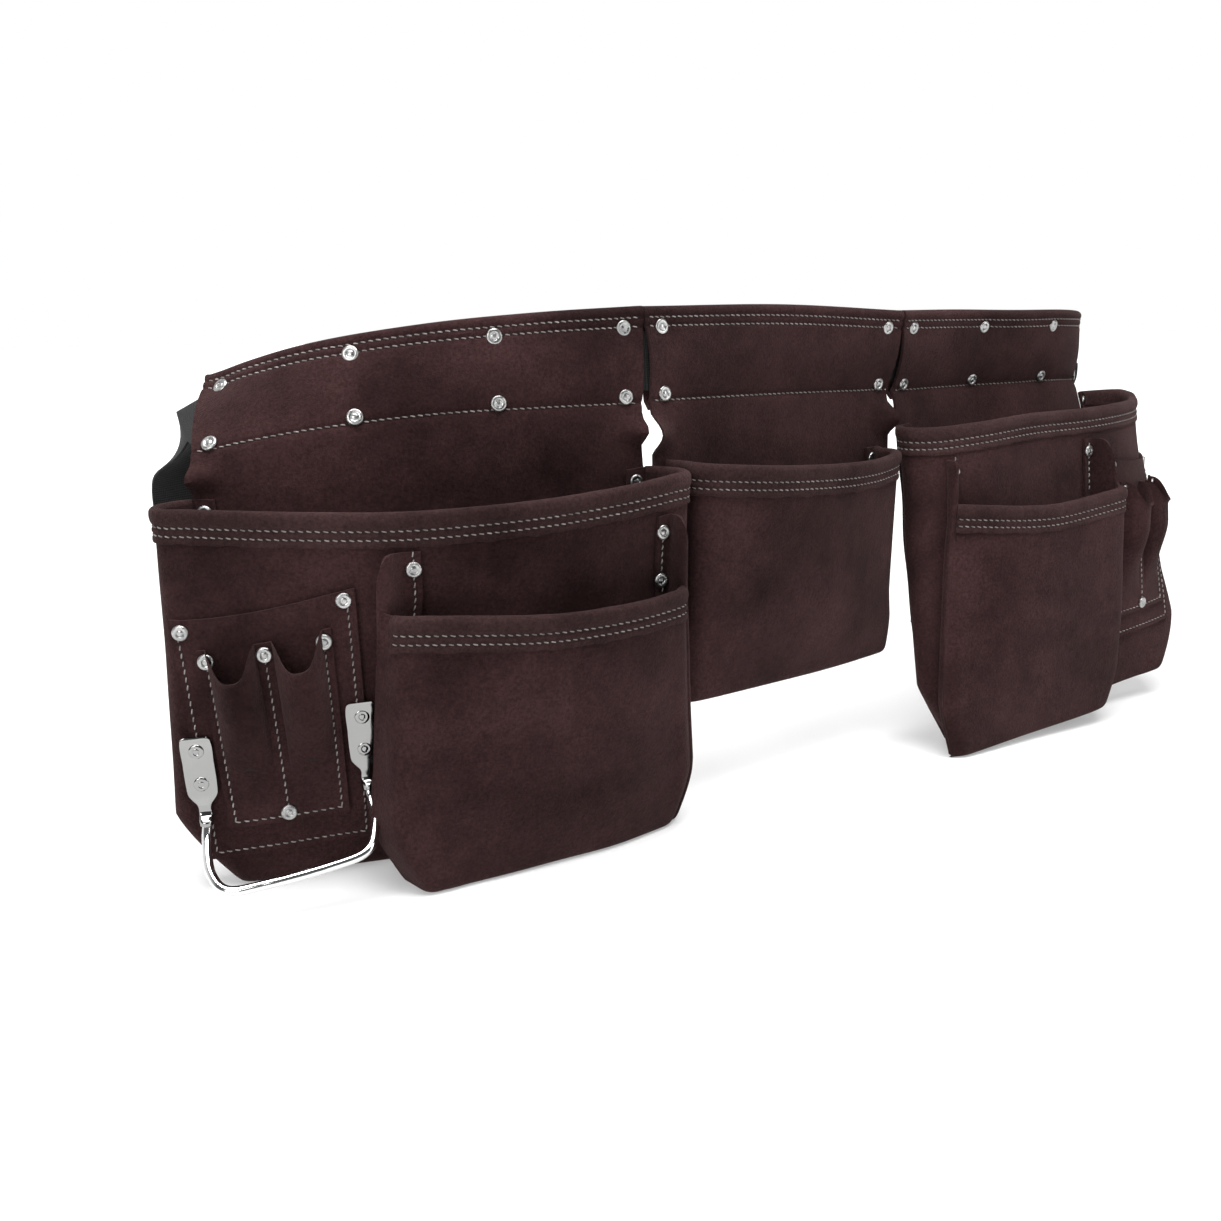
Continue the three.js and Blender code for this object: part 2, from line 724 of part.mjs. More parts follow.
function bigPouch(unit) {
  const { outline, rim, depth } = bigShape(unit);
  const centre = unit.name === "centre";
  const overhang = () => {
    if (centre) return [-CENTRE_INSET, -CENTRE_INSET];
    const { inner, outer } = OVERHANGS[unit.name];
    return [inner * BIG_INNER_OVERHANG, outer * BIG_OUTER_OVERHANG];
  };
  return pouchWall(unit, {
    ...outline,
    from: centre ? CENTRE_INSET : 0,
    to: unit.width - (centre ? 2 * CENTRE_INSET : 0),
    base: () => FACE_GAP,
    rim,
    depth,
    overhang: overhang(),
    flange: FLANGE,
    hem: HEM_HEIGHT,
  });
}

// The face of the big pouch, on which the small pocket and the tool panel sit.
function pouchFace(unit) {
  const { depth } = bigShape(unit);
  return (u, h) => FACE_GAP + depth(u, h) + LEATHER;
}

// How far each small pocket's outer side spreads, as shares of the named flare and overhang.
const SMALL_SPLAY = {
  left: { flare: 1, overhang: 1 },
  right: { flare: 0.5, overhang: 0 },
};

function smallPocket(unit) {
  const face = pouchFace(unit);
  const rim = (u) => SMALL_RIM * column(RIM_TABLE[unit.name], "small", clamp(u / unit.width, 0, 1));
  const table = SMALL_TABLE[unit.name];
  const bigRim = bigShape(unit).rim;
  const splay = SMALL_SPLAY[unit.name];
  return pouchWall(unit, {
    base: (u, h) => face(u, h) + FACE_GAP,
    depth: (u, h) => {
      const at = clamp((u - SMALL_START) / SMALL_WIDTH, 0, 1);
      const low = column(table, "foot", at);
      return SMALL_DEPTH * lerp(low, column(table, "rim", at), clamp(h / SMALL_RIM, 0, 1));
    },
    rim,
    height: SMALL_RIM,
    foot: 0,
    flare: [SMALL_INNER_FLARE, splay.flare * SMALL_OUTER_FLARE],
    chamfer: [
      { width: SMALL_CHAMFER_WIDTH, height: SMALL_INNER_CHAMFER_HEIGHT },
      { width: SMALL_CHAMFER_WIDTH, height: SMALL_CHAMFER_HEIGHT },
    ],
    from: SMALL_START,
    to: POCKET_END,
    overhang: [0, splay.overhang * SMALL_OUTER_OVERHANG],
    flange: SMALL_FLANGE,
    hem: HEM_HEIGHT,
    ridge: { top: (u) => bigRim(u) * (1 - HEM_HEIGHT / BIG_RIM) - RIDGE_CLEARANCE, depth: RIDGE_DEPTH },
  });
}

// The tool panel's foot as a share of its own height, its inner side's distance from the small pocket
// as a share of the spacing, and its skew as a share of the unit's width. What lies on it is placed
// by shares of the panel: `across` runs outwards, `up` from the foot.
const PANEL_CORNERS = {
  left: { footRise: 0.145, beside: 1, skew: -0.005 },
  right: { footRise: 0.3, beside: 0.66, skew: -0.02 },
};
const PANEL_TOP = [
  { at: 0, dip: 0.0 },
  { at: 0.35, dip: 0.035 },
  { at: 0.7, dip: 0.05 },
  { at: 1, dip: 0.045 },
];
const PANEL_FOOT_WIDTH = 0.94;
const SLOTS_PLACE = { inner: 0.14, outer: 0.86, foot: 0.13, top: 0.86 };

function panelPoint(unit, across, up) {
  const { footRise, beside, skew } = PANEL_CORNERS[unit.name];
  const top = up * (1 - column(PANEL_TOP, "dip", across));
  const middle = POCKET_END + beside * POCKET_SPACING + TOOL_PANEL_WIDTH / 2;
  const lean = skew * unit.width * (1 - up);
  const u = middle + lean + (across - 0.5) * TOOL_PANEL_WIDTH * lerp(PANEL_FOOT_WIDTH, 1, up);
  return { u, h: (footRise + top) * TOOL_PANEL_HEIGHT };
}

function toolPanel(unit) {
  const face = pouchFace(unit);
  return sheet(5, 6, (i, j, side) => {
    const { u, h } = panelPoint(unit, i / 5, j / 6);
    return unit.at(u, face(u, h) + FACE_GAP + side * LEATHER, h);
  });
}

// The holder's sheet is sewn down at both sides and down its middle and arches out into two tubes,
// which close towards the foot. Its mouth rises at the seams and dips over each tube.
function toolSlots(unit) {
  const face = pouchFace(unit);
  const columns = 6 * TUBES;
  const rows = 5;
  const { inner, outer, foot, top } = SLOTS_PLACE;
  return sheet(columns, rows, (i, j, side) => {
    const arch = Math.abs(Math.sin((Math.PI * TUBES * i) / columns));
    const open = THREE.MathUtils.smoothstep(j / rows, TUBE_FOOT * 0.4, 0.75);
    const mouth = top - (j / rows) * arch * 0.05;
    const { u, h } = panelPoint(unit, lerp(inner, outer, i / columns), lerp(foot, mouth, j / rows));
    const seat = face(u, h) + 2 * FACE_GAP + LEATHER;
    return unit.at(u, seat + TUBE_BULGE * arch ** 0.7 * open + side * LEATHER, h);
  });
}

// Hammer plate: rounded at its head, straight, then drawn in to the neck that is crimped on the rod.
const PLATE_TABLE = [
  { at: 0, width: 0.34 },
  { at: 0.12, width: 0.42 },
  { at: 0.25, width: 0.9 },
  { at: 0.5, width: 1 },
  { at: 0.92, width: 0.9 },
  { at: 1, width: 0.62 },
];
// Where each plate's neck stands on the tool panel, as shares of the panel.
const PLATE_PLACES = {
  outer: { across: 0.985, up: 0.165 },
  inner: { across: 0.015, up: 0.22 },
};
function plateSeat(unit, name, rise) {
  const face = pouchFace(unit);
  const { across, up } = PLATE_PLACES[name];
  const { u, h } = panelPoint(unit, across, up);
  const height = h + rise;
  const lift = face(u, height) + 2 * FACE_GAP + LEATHER;
  return { u, h: height, lift };
}

function hammerPlate(unit, across) {
  return sheet(2, PLATE_TABLE.length - 1, (i, j, side) => {
    const { at, width } = PLATE_TABLE[j];
    const { u, h, lift } = plateSeat(unit, across, at * PLATE_LENGTH);
    return unit.at(u + (i - 1) * (PLATE_WIDTH / 2) * width, lift + side * PLATE_THICKNESS, h);
  });
}

// The rod's route between the two necks, as shares of the way across, the reach and the drop.
const ROD_TABLE = [
  { across: 0, reach: 0, drop: 0 },
  { across: -0.01, reach: 0.18, drop: 0.3 },
  { across: 0, reach: 0.6, drop: 0.72 },
  { across: 0.09, reach: 0.93, drop: 0.98 },
  { across: 0.3, reach: 1, drop: 1 },
  { across: 0.7, reach: 1, drop: 0.96 },
  { across: 0.92, reach: 0.9, drop: 0.86 },
  { across: 1, reach: 0.5, drop: 0.52 },
  { across: 1, reach: 0.12, drop: 0.2 },
  { across: 1, reach: 0, drop: 0 },
];
function hammerLoop(unit) {
  const ends = ["outer", "inner"].map((across) => plateSeat(unit, across, -2 * GAP));
  const points = ROD_TABLE.map(({ across, reach, drop }) => {
    const u = lerp(ends[0].u, ends[1].u, across);
    const h = lerp(ends[0].h, ends[1].h, across) - drop * ROD_DROP;
    const lift = lerp(ends[0].lift, ends[1].lift, across) + ROD / 2 + reach * ROD_REACH;
    return unit.at(u, lift, h);
  });
  const section = new THREE.Shape();
  section.absarc(0, 0, ROD / 2, 0, 2 * Math.PI, false);
  const rod = new THREE.ExtrudeGeometry(section, {
    curveSegments: 4,
    steps: 22,
    bevelEnabled: false,
    extrudePath: new THREE.CatmullRomCurve3(points, false, "centripetal"),
  });
  return fromGeometry(rod);
}

// A free end of the strap: it leaves its sleeve, swings back and falls behind the pouch to the floor.
// `left` and `right` run outwards on each side and `behind` to the rear, as shares of the free length,
// `height` is a share of the sleeve's height there, and `flat` turns the strap from upright to flat.
const TAIL = [
  { left: 0.02, right: 0.02, behind: 0.038, height: 0.985, flat: 0.05 },
  { left: 0.025, right: 0.025, behind: 0.078, height: 0.86, flat: 0.45 },
  { left: 0.01, right: 0.022, behind: 0.1, height: 0.68, flat: 0.8 },
  { left: -0.04, right: 0.016, behind: 0.115, height: 0.5, flat: 0.9 },
  { left: -0.08, right: 0.012, behind: 0.14, height: 0.32, flat: 1 },
  { left: -0.11, right: 0.01, behind: 0.18, height: 0.16, flat: 1 },
  { left: -0.13, right: 0.01, behind: 0.24, height: 0.055, flat: 1 },
  { left: -0.14, right: 0.01, behind: 0.32, height: 0, flat: 1 },
  { left: -0.145, right: 0.005, behind: 0.4, height: 0, flat: 1 },
];
function tailStations(unit) {
  const start = unit.at(unit.width + PANEL_TAPER, -SLEEVE_DEPTH / 2, STRAP_MIDDLE);
  const low = BUCKLE_THICKNESS / 2;
  return TAIL.map(({ [unit.name]: across, behind, height, flat }) => ({
    middle: new THREE.Vector3(
      start.x + unit.side * across * FREE_LENGTH,
      start.y + behind * FREE_LENGTH,
      low + (start.z - low) * height,
    ),
    hint: new THREE.Vector3(-unit.side * flat, 0, 1 - flat),
  }));
}

// Both edges of the strap at each station along it, from the left free end to the right one.
function strapStations() {
  const run = (unit) => {
    const edge = (share, h) => {
      const [inner, outer] = panelEnds(unit, h);
      return unit.at(lerp(inner, outer, share), -SLEEVE_DEPTH / 2, h);
    };
    return panelShares(unit).map((share) => ({
      low: edge(share, STRAP_TOP - STRAP_WIDTH),
      high: edge(share, STRAP_TOP),
    }));
  };
  const free = (unit) => {
    const stations = tailStations(unit);
    return stations.map(({ middle, hint }, i) => {
      const before = stations[Math.max(i - 1, 0)].middle;
      const after = stations[Math.min(i + 1, stations.length - 1)].middle;
      const along = after.clone().sub(before).normalize();
      const wide = hint.clone().addScaledVector(along, -hint.dot(along)).normalize();
      wide.multiplyScalar(STRAP_WIDTH / 2);
      return { low: middle.clone().sub(wide), high: middle.clone().add(wide) };
    });
  };
  return [
    ...free(units.left).reverse(),
    ...run(units.left).reverse(),
    ...run(units.centre),
    ...run(units.right),
    ...free(units.right),
  ];
}

function webbing() {
  const route = strapStations();
  const thick = route.map(({ low, high }, i) => {
    const before = route[Math.max(i - 1, 0)];
    const after = route[Math.min(i + 1, route.length - 1)];
    const along = after.low.clone().add(after.high).sub(before.low).sub(before.high);
    return high.clone().sub(low).cross(along).normalize();
  });
  return sheet(route.length - 1, 1, (i, j, side) => {
    const point = (j === 0 ? route[i].low : route[i].high).clone();
    return point.addScaledVector(thick[i], (0.5 - side) * STRAP_THICKNESS);
  }, (i) => i < TAIL.length + panelShares(units.left).length);
}

// Each buckle half is a plain block on the floor with a slot that takes the strap's end.
function buckleHalf(unit) {
  const [before, end] = tailStations(unit).slice(-2);
  const along = end.middle.clone().sub(before.middle).setZ(0).normalize();
  const up = new THREE.Vector3(0, 0, 1);
  const wide = along.clone().cross(up);
  const width = STRAP_WIDTH + 2 * BUCKLE_SIDE;
  const place = (geometry, forward, lift) => {
    const middle = end.middle.clone().addScaledVector(along, forward);
    middle.z = lift;
    const frame = new THREE.Matrix4().makeBasis(wide, along, up).setPosition(middle);
    return fromGeometry(geometry.applyMatrix4(frame));
  };
  const block = new THREE.BoxGeometry(width, BUCKLE_LENGTH, BUCKLE_THICKNESS);
  const slot = new THREE.BoxGeometry(
    STRAP_WIDTH + 2 * GAP,
    BUCKLE_SLOT_DEPTH + GAP,
    STRAP_THICKNESS + 2 * GAP,
  );
  const forward = BUCKLE_LENGTH / 2 - BUCKLE_SLOT_DEPTH;
  const mouth = (GAP - BUCKLE_SLOT_DEPTH) / 2;
  const body = place(block, forward, BUCKLE_THICKNESS / 2);
  return body.subtract(place(slot, mouth - GAP / 2, BUCKLE_THICKNESS / 2));
}

const heading = radians(CENTRE_HEADING);
const centreStart = new THREE.Vector2(-Math.cos(heading), -Math.sin(heading));
centreStart.multiplyScalar(CENTRE_WIDTH / 2);
const centreEnd = centreStart.clone().negate();
const units = {
  left: makeUnit("left", centreStart.clone().add({ x: -UNIT_GAP, y: 0 }), 0, -1, SIDE_WIDTH),
  centre: makeUnit("centre", centreStart, CENTRE_HEADING, 1, CENTRE_WIDTH),
  right: makeUnit("right", centreEnd.clone().add({ x: UNIT_GAP, y: 0 }), 0, 1, SIDE_WIDTH),
};

for (const unit of Object.values(units)) {
  const spots = rivetSpots(unit);
  addPiece(`${unit.name}_back_panel`, backPanel(unit, spots), SUEDE);
  spots.forEach((spot, i) => addPiece(`${unit.name}_sleeve_rivet_${i + 1}`, rivet(unit, spot), ZINC));
}
addPiece("left_big_pouch", bigPouch(units.left), SUEDE);
addPiece("centre_pouch", bigPouch(units.centre), SUEDE);
addPiece("right_big_pouch", bigPouch(units.right), SUEDE);
addPiece("left_small_pocket", smallPocket(units.left), SUEDE);
addPiece("right_small_pocket", smallPocket(units.right), SUEDE);
for (const unit of [units.left, units.right]) {
  addPiece(`${unit.name}_tool_panel`, toolPanel(unit), SUEDE);
  addPiece(`${unit.name}_tool_slots`, toolSlots(unit), SUEDE);
  addPiece(`${unit.name}_buckle_half`, buckleHalf(unit), PLASTIC);
}
addPiece("hammer_plate_outer", hammerPlate(units.left, "outer"), CHROME);
addPiece("hammer_plate_inner", hammerPlate(units.left, "inner"), CHROME);
addPiece("hammer_loop", hammerLoop(units.left), CHROME);
addPiece("webbing", webbing(), WEBBING);

const box = new THREE.Box3().setFromObject(root);
root.position.set(-(box.min.x + box.max.x) / 2, -(box.min.y + box.max.y) / 2, -box.min.z);

export default root;
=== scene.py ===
import math

import bmesh
import bpy
import numpy as np
from mathutils import Matrix, Vector


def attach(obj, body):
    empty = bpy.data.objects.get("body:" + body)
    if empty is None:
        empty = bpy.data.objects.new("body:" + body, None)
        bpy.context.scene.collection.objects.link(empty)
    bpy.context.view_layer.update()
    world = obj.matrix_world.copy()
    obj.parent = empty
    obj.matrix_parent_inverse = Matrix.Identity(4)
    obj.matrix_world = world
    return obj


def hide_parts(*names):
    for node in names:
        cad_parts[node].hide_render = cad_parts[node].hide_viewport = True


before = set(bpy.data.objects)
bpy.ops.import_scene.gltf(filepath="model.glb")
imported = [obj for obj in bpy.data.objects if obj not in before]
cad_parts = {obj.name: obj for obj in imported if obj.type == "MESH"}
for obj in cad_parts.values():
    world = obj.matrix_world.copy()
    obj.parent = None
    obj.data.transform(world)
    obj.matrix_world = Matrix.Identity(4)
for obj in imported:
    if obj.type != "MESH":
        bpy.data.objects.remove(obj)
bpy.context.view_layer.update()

# Back panels. Each of the three units hangs from one hide panel of split suede, dyed dark brown and
# napped on both faces. Its top is folded back over the strap and sewn down, and the panel leans and
# curls as the belt stands. Lengths are in millimetres, as the cutter measures them.
LEATHER = 2.2
FACE_GAP = 0.9
SIDE_WIDTH = 275
CENTRE_WIDTH = 231
CENTRE_HEADING = 7.5
UNIT_GAP = 6
PANEL_HEIGHT = 324
SLEEVE_HEIGHT = 59
SLEEVE_DEPTH = 8.2
SEAM_BAND = 11
PANEL_TAPER = 2.6
SLEEVE_SPREAD = 2.7
WAIST = PANEL_HEIGHT - SLEEVE_HEIGHT
SEAM_FOOT = WAIST - SEAM_BAND / 2 - LEATHER
UPPER_RIVETS = PANEL_HEIGHT - 13
LOWER_RIVETS = UPPER_RIVETS - 42
RIVET_END_INSET = 11
RIVET_SEAT = 0.8
RIVET_CAP_HEIGHT = 2
BIG_RIM = 229
CENTRE_RIM = 224
CENTRE_FOOT = 70
HEM_HEIGHT = 20
SIDE_FOLD = 11
SIDE_FOLD_WIDTH = 20
SLEEVE_PUFF = 1.8
SEAM_PRESS = 1.2
ROW_PRESS = 0.8
RIVET_PRESS = 1.6
RIVET_PRESS_AREA = 90
LINE_STEPS = 48
TOP_ROWS = (7, 12.5)
RUN_ON = 60
SWELL = 1.1
MM = 0.001


def table(columns, *rows):
    """A small table whose columns are read by name."""
    return dict(zip(columns.split(), np.array(rows, float).T))


def eased(t, span, a, b, leave, arrive):
    """A cubic from a to b over a span, with the slopes at which it leaves and arrives."""
    ease = t * t * (3 - 2 * t)
    bend = t * (1 - t) ** 2 * span * leave + t * t * (t - 1) * span * arrive
    return a * (1 - ease) + b * ease + bend


def column(rows, name, at):
    """A smooth curve through one named column, set out along the column `at`."""
    xs = rows["at"]
    ys = rows[name]
    slopes = np.diff(ys) / np.diff(xs)
    tangents = np.concatenate([slopes[:1], (slopes[:-1] + slopes[1:]) / 2, slopes[-1:]])
    i = np.clip(np.searchsorted(xs, at, "right") - 1, 0, len(xs) - 2)
    span = xs[i + 1] - xs[i]
    t = np.clip((at - xs[i]) / span, 0, 1)
    return eased(t, span, ys[i], ys[i + 1], tangents[i], tangents[i + 1])


def mix(a, b, t):
    return a + (b - a) * t


def unit_length(v):
    return v / np.linalg.norm(v, axis=-1, keepdims=True)


def run_along(points):
    """The distance run at each of a row of points."""
    return np.append(0, np.cumsum(np.linalg.norm(np.diff(points, axis=0), axis=1)))


# The three level lines of each panel: foot, waist at the sleeve's lower seam, and top. `turn` is how
# far the line bends back in degrees, `rise` its height as a share of the line's own height. Forward
# and along place its start, as shares of the panel's height.
LINES = {
    "left": {
        "foot": (0.035, 0, table("at turn rise", (0, 3, 0), (0.5, 6, 0), (1, 9, 0))),
        "waist": (0.006, 0, table(
            "at turn rise",
            (0, -1, 1), (0.25, 2, 1), (0.5, 9, 0.995), (0.75, 22, 0.97), (1, 34, 0.925))),
        "top": (0, 0, table(
            "at turn rise",
            (0, -1, 1), (0.25, 4, 0.99), (0.5, 17, 0.973), (0.75, 38, 0.942), (1, 58, 0.888))),
    },
    "centre": {
        "foot": (0.055, 0, table("at turn rise", (0, 0, 0), (0.5, 2, 0), (1, 5, 0))),
        "waist": (0.015, 0, table("at turn rise", (0, 4, 1.005), (0.5, 4, 1), (1, 4, 0.99))),
        "top": (0, 0, table("at turn rise", (0, 0, 1), (0.5, 0, 1), (1, 0, 0.983))),
    },
    "right": {
        "foot": (0.15, -0.02, table("at turn rise", (0, 6, 0), (0.4, 6, 0.02), (1, 6, 0.07))),
        "waist": (-0.04, 0, table(
            "at turn rise",
            (0, 15, 0.985), (0.22, 10, 0.985), (0.47, 4, 0.985), (0.7, 12, 0.985), (1, 46, 0.975))),
        "top": (0, 0, table(
            "at turn rise",
            (0, 13, 0.983), (0.22, 9, 0.983), (0.47, 4, 0.98), (0.7, 16, 0.98), (1, 62, 0.975))),
    },
}
# Rim heights as shares of the named ones, at shares of the unit's width.
RIMS = {
    "left": table("at big small", (0, 0.985, 0.94), (0.3, 0.955, 0.925), (0.6, 0.955, 0.96), (1, 1.03, 1)),
    "centre": table("at big", (0, 1.02), (0.35, 0.995), (0.7, 0.985), (1, 1.005)),
    "right": table("at big small", (0, 1.045, 1.09), (0.3, 1.07, 1.06), (0.6, 1.075, 1.09), (1, 1.1, 1.1)),
}


class Unit:
    """One unit of the belt. at(u, out, h) is u from its inner end, out in front of it and h up it."""

    def __init__(self, name, side, start, heading, width, seed):
        self.name = name
        self.side = side
        self.width = width
        self.shift = np.zeros(3)
        self.lines = {}
        turned = math.radians(heading)
        step = width / LINE_STEPS
        for key, (forward, along, rows) in LINES[name].items():
            angle = turned + np.radians(column(rows, "turn", (np.arange(LINE_STEPS) + 0.5) / LINE_STEPS))
            x_end = start[0] + side * along * PANEL_HEIGHT * math.cos(turned)
            y_end = start[1] - forward * PANEL_HEIGHT
            u = np.concatenate([[-RUN_ON], np.linspace(0, width, LINE_STEPS + 1), [width + RUN_ON]])
            places = []
            for first, way in ((x_end, side * np.cos(angle)), (y_end, np.sin(angle))):
                run = first + np.append(0, np.cumsum(way)) * step
                ends = run[0] - way[0] * RUN_ON, run[-1] + way[-1] * RUN_ON
                places.append(np.concatenate([ends[:1], run, ends[1:]]))
            self.lines[key] = (u, *places, rows)
        waves = np.random.default_rng(seed)
        self.waves = [(waves.normal(0, 1, 2) / 34, waves.uniform(0, 6.28)) for _ in range(6)]

    def line(self, key, u):
        us, xs, ys, rows = self.lines[key]
        tall = WAIST if key == "waist" else PANEL_HEIGHT
        rise = column(rows, "rise", np.clip(u / self.width, 0, 1)) * tall
        return np.stack([np.interp(u, us, xs), np.interp(u, us, ys), rise], -1)

    def surface(self, u, h):
        waist = self.line("waist", u)
        low = mix(self.line("foot", u), waist, (h / WAIST)[..., None])
        high = mix(waist, self.line("top", u), ((h - WAIST) / SLEEVE_HEIGHT)[..., None])
        return np.where((h <= WAIST)[..., None], low, high)

    def outward(self, u, h):
        across = self.surface(u + 2, h) - self.surface(u - 2, h)
        level = np.stack([across[..., 1], -across[..., 0], across[..., 0] * 0], -1) * self.side
        up = self.surface(u, h + 2) - self.surface(u, h - 2)
        square = np.cross(across, up) * self.side
        share = np.clip((h - BIG_RIM - HEM_HEIGHT) / (WAIST - BIG_RIM - HEM_HEIGHT), 0, 1)[..., None]
        return unit_length(mix(unit_length(level), unit_length(square), share))

    def swell(self, u, h):
        """The soft unevenness of the hide, shared by all that lies on it."""
        lift = sum(np.sin(u * k[0] + h * k[1] + phase) for k, phase in self.waves)
        return SWELL * lift / 3 * np.clip((WAIST - h) / 40, 0, 1)

    def at(self, u, out, h):
        u, out, h = np.broadcast_arrays(*(np.asarray(v, float) for v in (u, out, h)))
        lift = (out + self.swell(u, h))[..., None]
        return self.surface(u, h) + self.outward(u, h) * lift + self.shift


half = CENTRE_WIDTH / 2
lean = math.radians(CENTRE_HEADING)
centre_end = (half * math.cos(lean), half * math.sin(lean))
units = {
    "left": Unit("left", -1, (-centre_end[0] - UNIT_GAP, -centre_end[1]), 0, SIDE_WIDTH, 3),
    "centre": Unit("centre", 1, (-centre_end[0], -centre_end[1]), CENTRE_HEADING, CENTRE_WIDTH, 5),
    "right": Unit("right", 1, (centre_end[0] + UNIT_GAP, centre_end[1]), 0, SIDE_WIDTH, 8),
}


def belt_shift():
    """Where the belt stands in the frame, found from the cap of the centre unit's first rivet."""
    unit = units["centre"]
    u, h = np.array(float(RIVET_END_INSET)), np.array(float(UPPER_RIVETS))
    axis = unit.outward(u, h)
    corners = np.array([v.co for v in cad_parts["centre_sleeve_rivet_1"].data.vertices]) / MM
    middle = corners.mean(0)
    cap = middle + axis * ((corners @ axis).max() - middle @ axis)
    return cap - unit.at(u, RIVET_SEAT + RIVET_CAP_HEIGHT, h)


shift = belt_shift()
for unit in units.values():
    unit.shift = shift


def sheet_part(front, back, slot=0):
    """A closed sheet between two grids of points: corners, faces and material slot."""
    rows, columns = front.shape[:2]
    a = np.arange(rows * columns).reshape(rows, columns)
    b = a + rows * columns

    def quads(grid):
        return np.stack([grid[:-1, :-1], grid[:-1, 1:], grid[1:, 1:], grid[1:, :-1]], -1).reshape(-1, 4)

    def edge(p, q):
        return np.stack([p[:-1], q[:-1], q[1:], p[1:]], -1)

    faces = [quads(a), quads(b)[:, ::-1], edge(a[0], b[0]), edge(b[-1], a[-1])]
    faces += [edge(b[:, 0], a[:, 0]), edge(a[:, -1], b[:, -1])]
    return np.concatenate([front.reshape(-1, 3), back.reshape(-1, 3)]), np.concatenate(faces), slot


def tube_part(rings, slot=0):
    """A closed body through rings of points, capped at both ends."""
    count, sides = rings.shape[:2]
    grid = np.arange(count * sides).reshape(count, sides)
    turned = np.roll(grid, -1, 1)
    walls = np.stack([grid[:-1], turned[:-1], turned[1:], grid[1:]], -1).reshape(-1, 4)
    points = np.concatenate([rings.reshape(-1, 3), rings[0].mean(0)[None], rings[-1].mean(0)[None]])
    first, last = count * sides, count * sides + 1
    caps = [(int(turned[0, i]), int(grid[0, i]), first) for i in range(sides)]
    caps += [(int(grid[-1, i]), int(turned[-1, i]), last) for i in range(sides)]
    return points, [tuple(f) for f in walls.tolist()] + caps, slot


def placed(name, data):
    piece = bpy.data.objects.new(name, data)
    bpy.context.scene.collection.objects.link(piece)
    return piece


def build(name, parts, materials, nodes=(), sharp=50):
    """Joins parts into one piece that rides on the belt and stands for its CAD nodes."""
    corners, faces, slots = [], [], []
    start = 0
    for points, part_faces, index in parts:
        corners.append(points)
        faces += [tuple(int(i) + start for i in face) for face in part_faces]
        slots += [index] * len(part_faces)
        start += len(points)
    mesh = bpy.data.meshes.new(name)
    mesh.from_pydata(np.concatenate(corners) * MM, [], faces)
    for material in materials:
        mesh.materials.append(material)
    mesh.polygons.foreach_set("material_index", slots)
    work = bmesh.new()
    work.from_mesh(mesh)
    bmesh.ops.recalc_face_normals(work, faces=work.faces)
    work.to_mesh(mesh)
    work.free()
    mesh.shade_smooth()
    mesh.set_sharp_from_angle(angle=math.radians(sharp))
    piece = placed(name, mesh)
    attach(piece, "root")
    if nodes:
        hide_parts(*nodes)
    return piece


def new_material(name, color, roughness, metallic=0.0):
    material = bpy.data.materials.new(name)
    material.use_nodes = True
    shader = material.node_tree.nodes["Principled BSDF"]
    shader.inputs["Base Color"].default_value = (*color, 1)
    shader.inputs["Roughness"].default_value = roughness
    shader.inputs["Metallic"].default_value = metallic
    return material, material.node_tree, shader


def noise(tree, scale, detail, roughness=0.5):
    """A noise over the piece's own coordinates, with `scale` features to the metre."""
    where = tree.nodes.new("ShaderNodeTexCoord")
    node = tree.nodes.new("ShaderNodeTexNoise")
    node.inputs["Scale"].default_value = scale
    node.inputs["Detail"].default_value = detail
    node.inputs["Roughness"].default_value = roughness
    tree.links.new(where.outputs["Object"], node.inputs["Vector"])
    return node.outputs["Fac"]


def ramp(tree, value, *stops):
    node = tree.nodes.new("ShaderNodeValToRGB")
    for i, (position, color) in enumerate(stops):
        stop = node.color_ramp.elements[i] if i < 2 else node.color_ramp.elements.new(position)
        stop.position = position
        stop.color = (*color, 1)
    tree.links.new(value, node.inputs["Fac"])
    return node.outputs["Color"]


def drive(tree, shader, name, value, *stops):
    """Gives one of the shader's inputs a value seen through a ramp."""
    tree.links.new(ramp(tree, value, *stops), shader.inputs[name])


def multiplied(tree, a, b):
    node = tree.nodes.new("ShaderNodeMix")
    node.data_type = "RGBA"
    node.blend_type = "MULTIPLY"
    node.inputs["Factor"].default_value = 1
    tree.links.new(a, node.inputs["A"])
    tree.links.new(b, node.inputs["B"])
    return node.outputs["Result"]


def bump(tree, shader, *layers):
    """Stacks bumps, each a height and its depth in millimetres, and gives them to the shader."""
    normal = None
    for height, depth in layers:
        node = tree.nodes.new("ShaderNodeBump")
        node.inputs["Distance"].default_value = depth * MM
        tree.links.new(height, node.inputs["Height"])
        if normal is not None:
            tree.links.new(normal, node.inputs["Normal"])
        normal = node.outputs["Normal"]
    tree.links.new(normal, shader.inputs["Normal"])


def suede_material(name, dark, light, nap):
    """Split suede: short nap that catches light unevenly, brushed in broad patches."""
    material, tree, shader = new_material(name, light, 0.92)
    patches = ramp(tree, noise(tree, 14, 6, 0.62), (0.34, dark), (0.68, light))
    fibres = ramp(tree, noise(tree, 520, 4, 0.75), (0.32, (0.55, 0.54, 0.54)), (0.72, (1.4, 1.36, 1.35)))
    tree.links.new(multiplied(tree, patches, fibres), shader.inputs["Base Color"])
    shader.inputs["Specular IOR Level"].default_value = 0.05
    shader.inputs["Sheen Weight"].default_value = 0.08
    shader.inputs["Sheen Roughness"].default_value = 0.4
    shader.inputs["Sheen Tint"].default_value = (0.8, 0.55, 0.54, 1)
    bump(tree, shader, (noise(tree, 60, 4, 0.6), 1.3), (noise(tree, 700, 4, 0.75), nap))
    return material


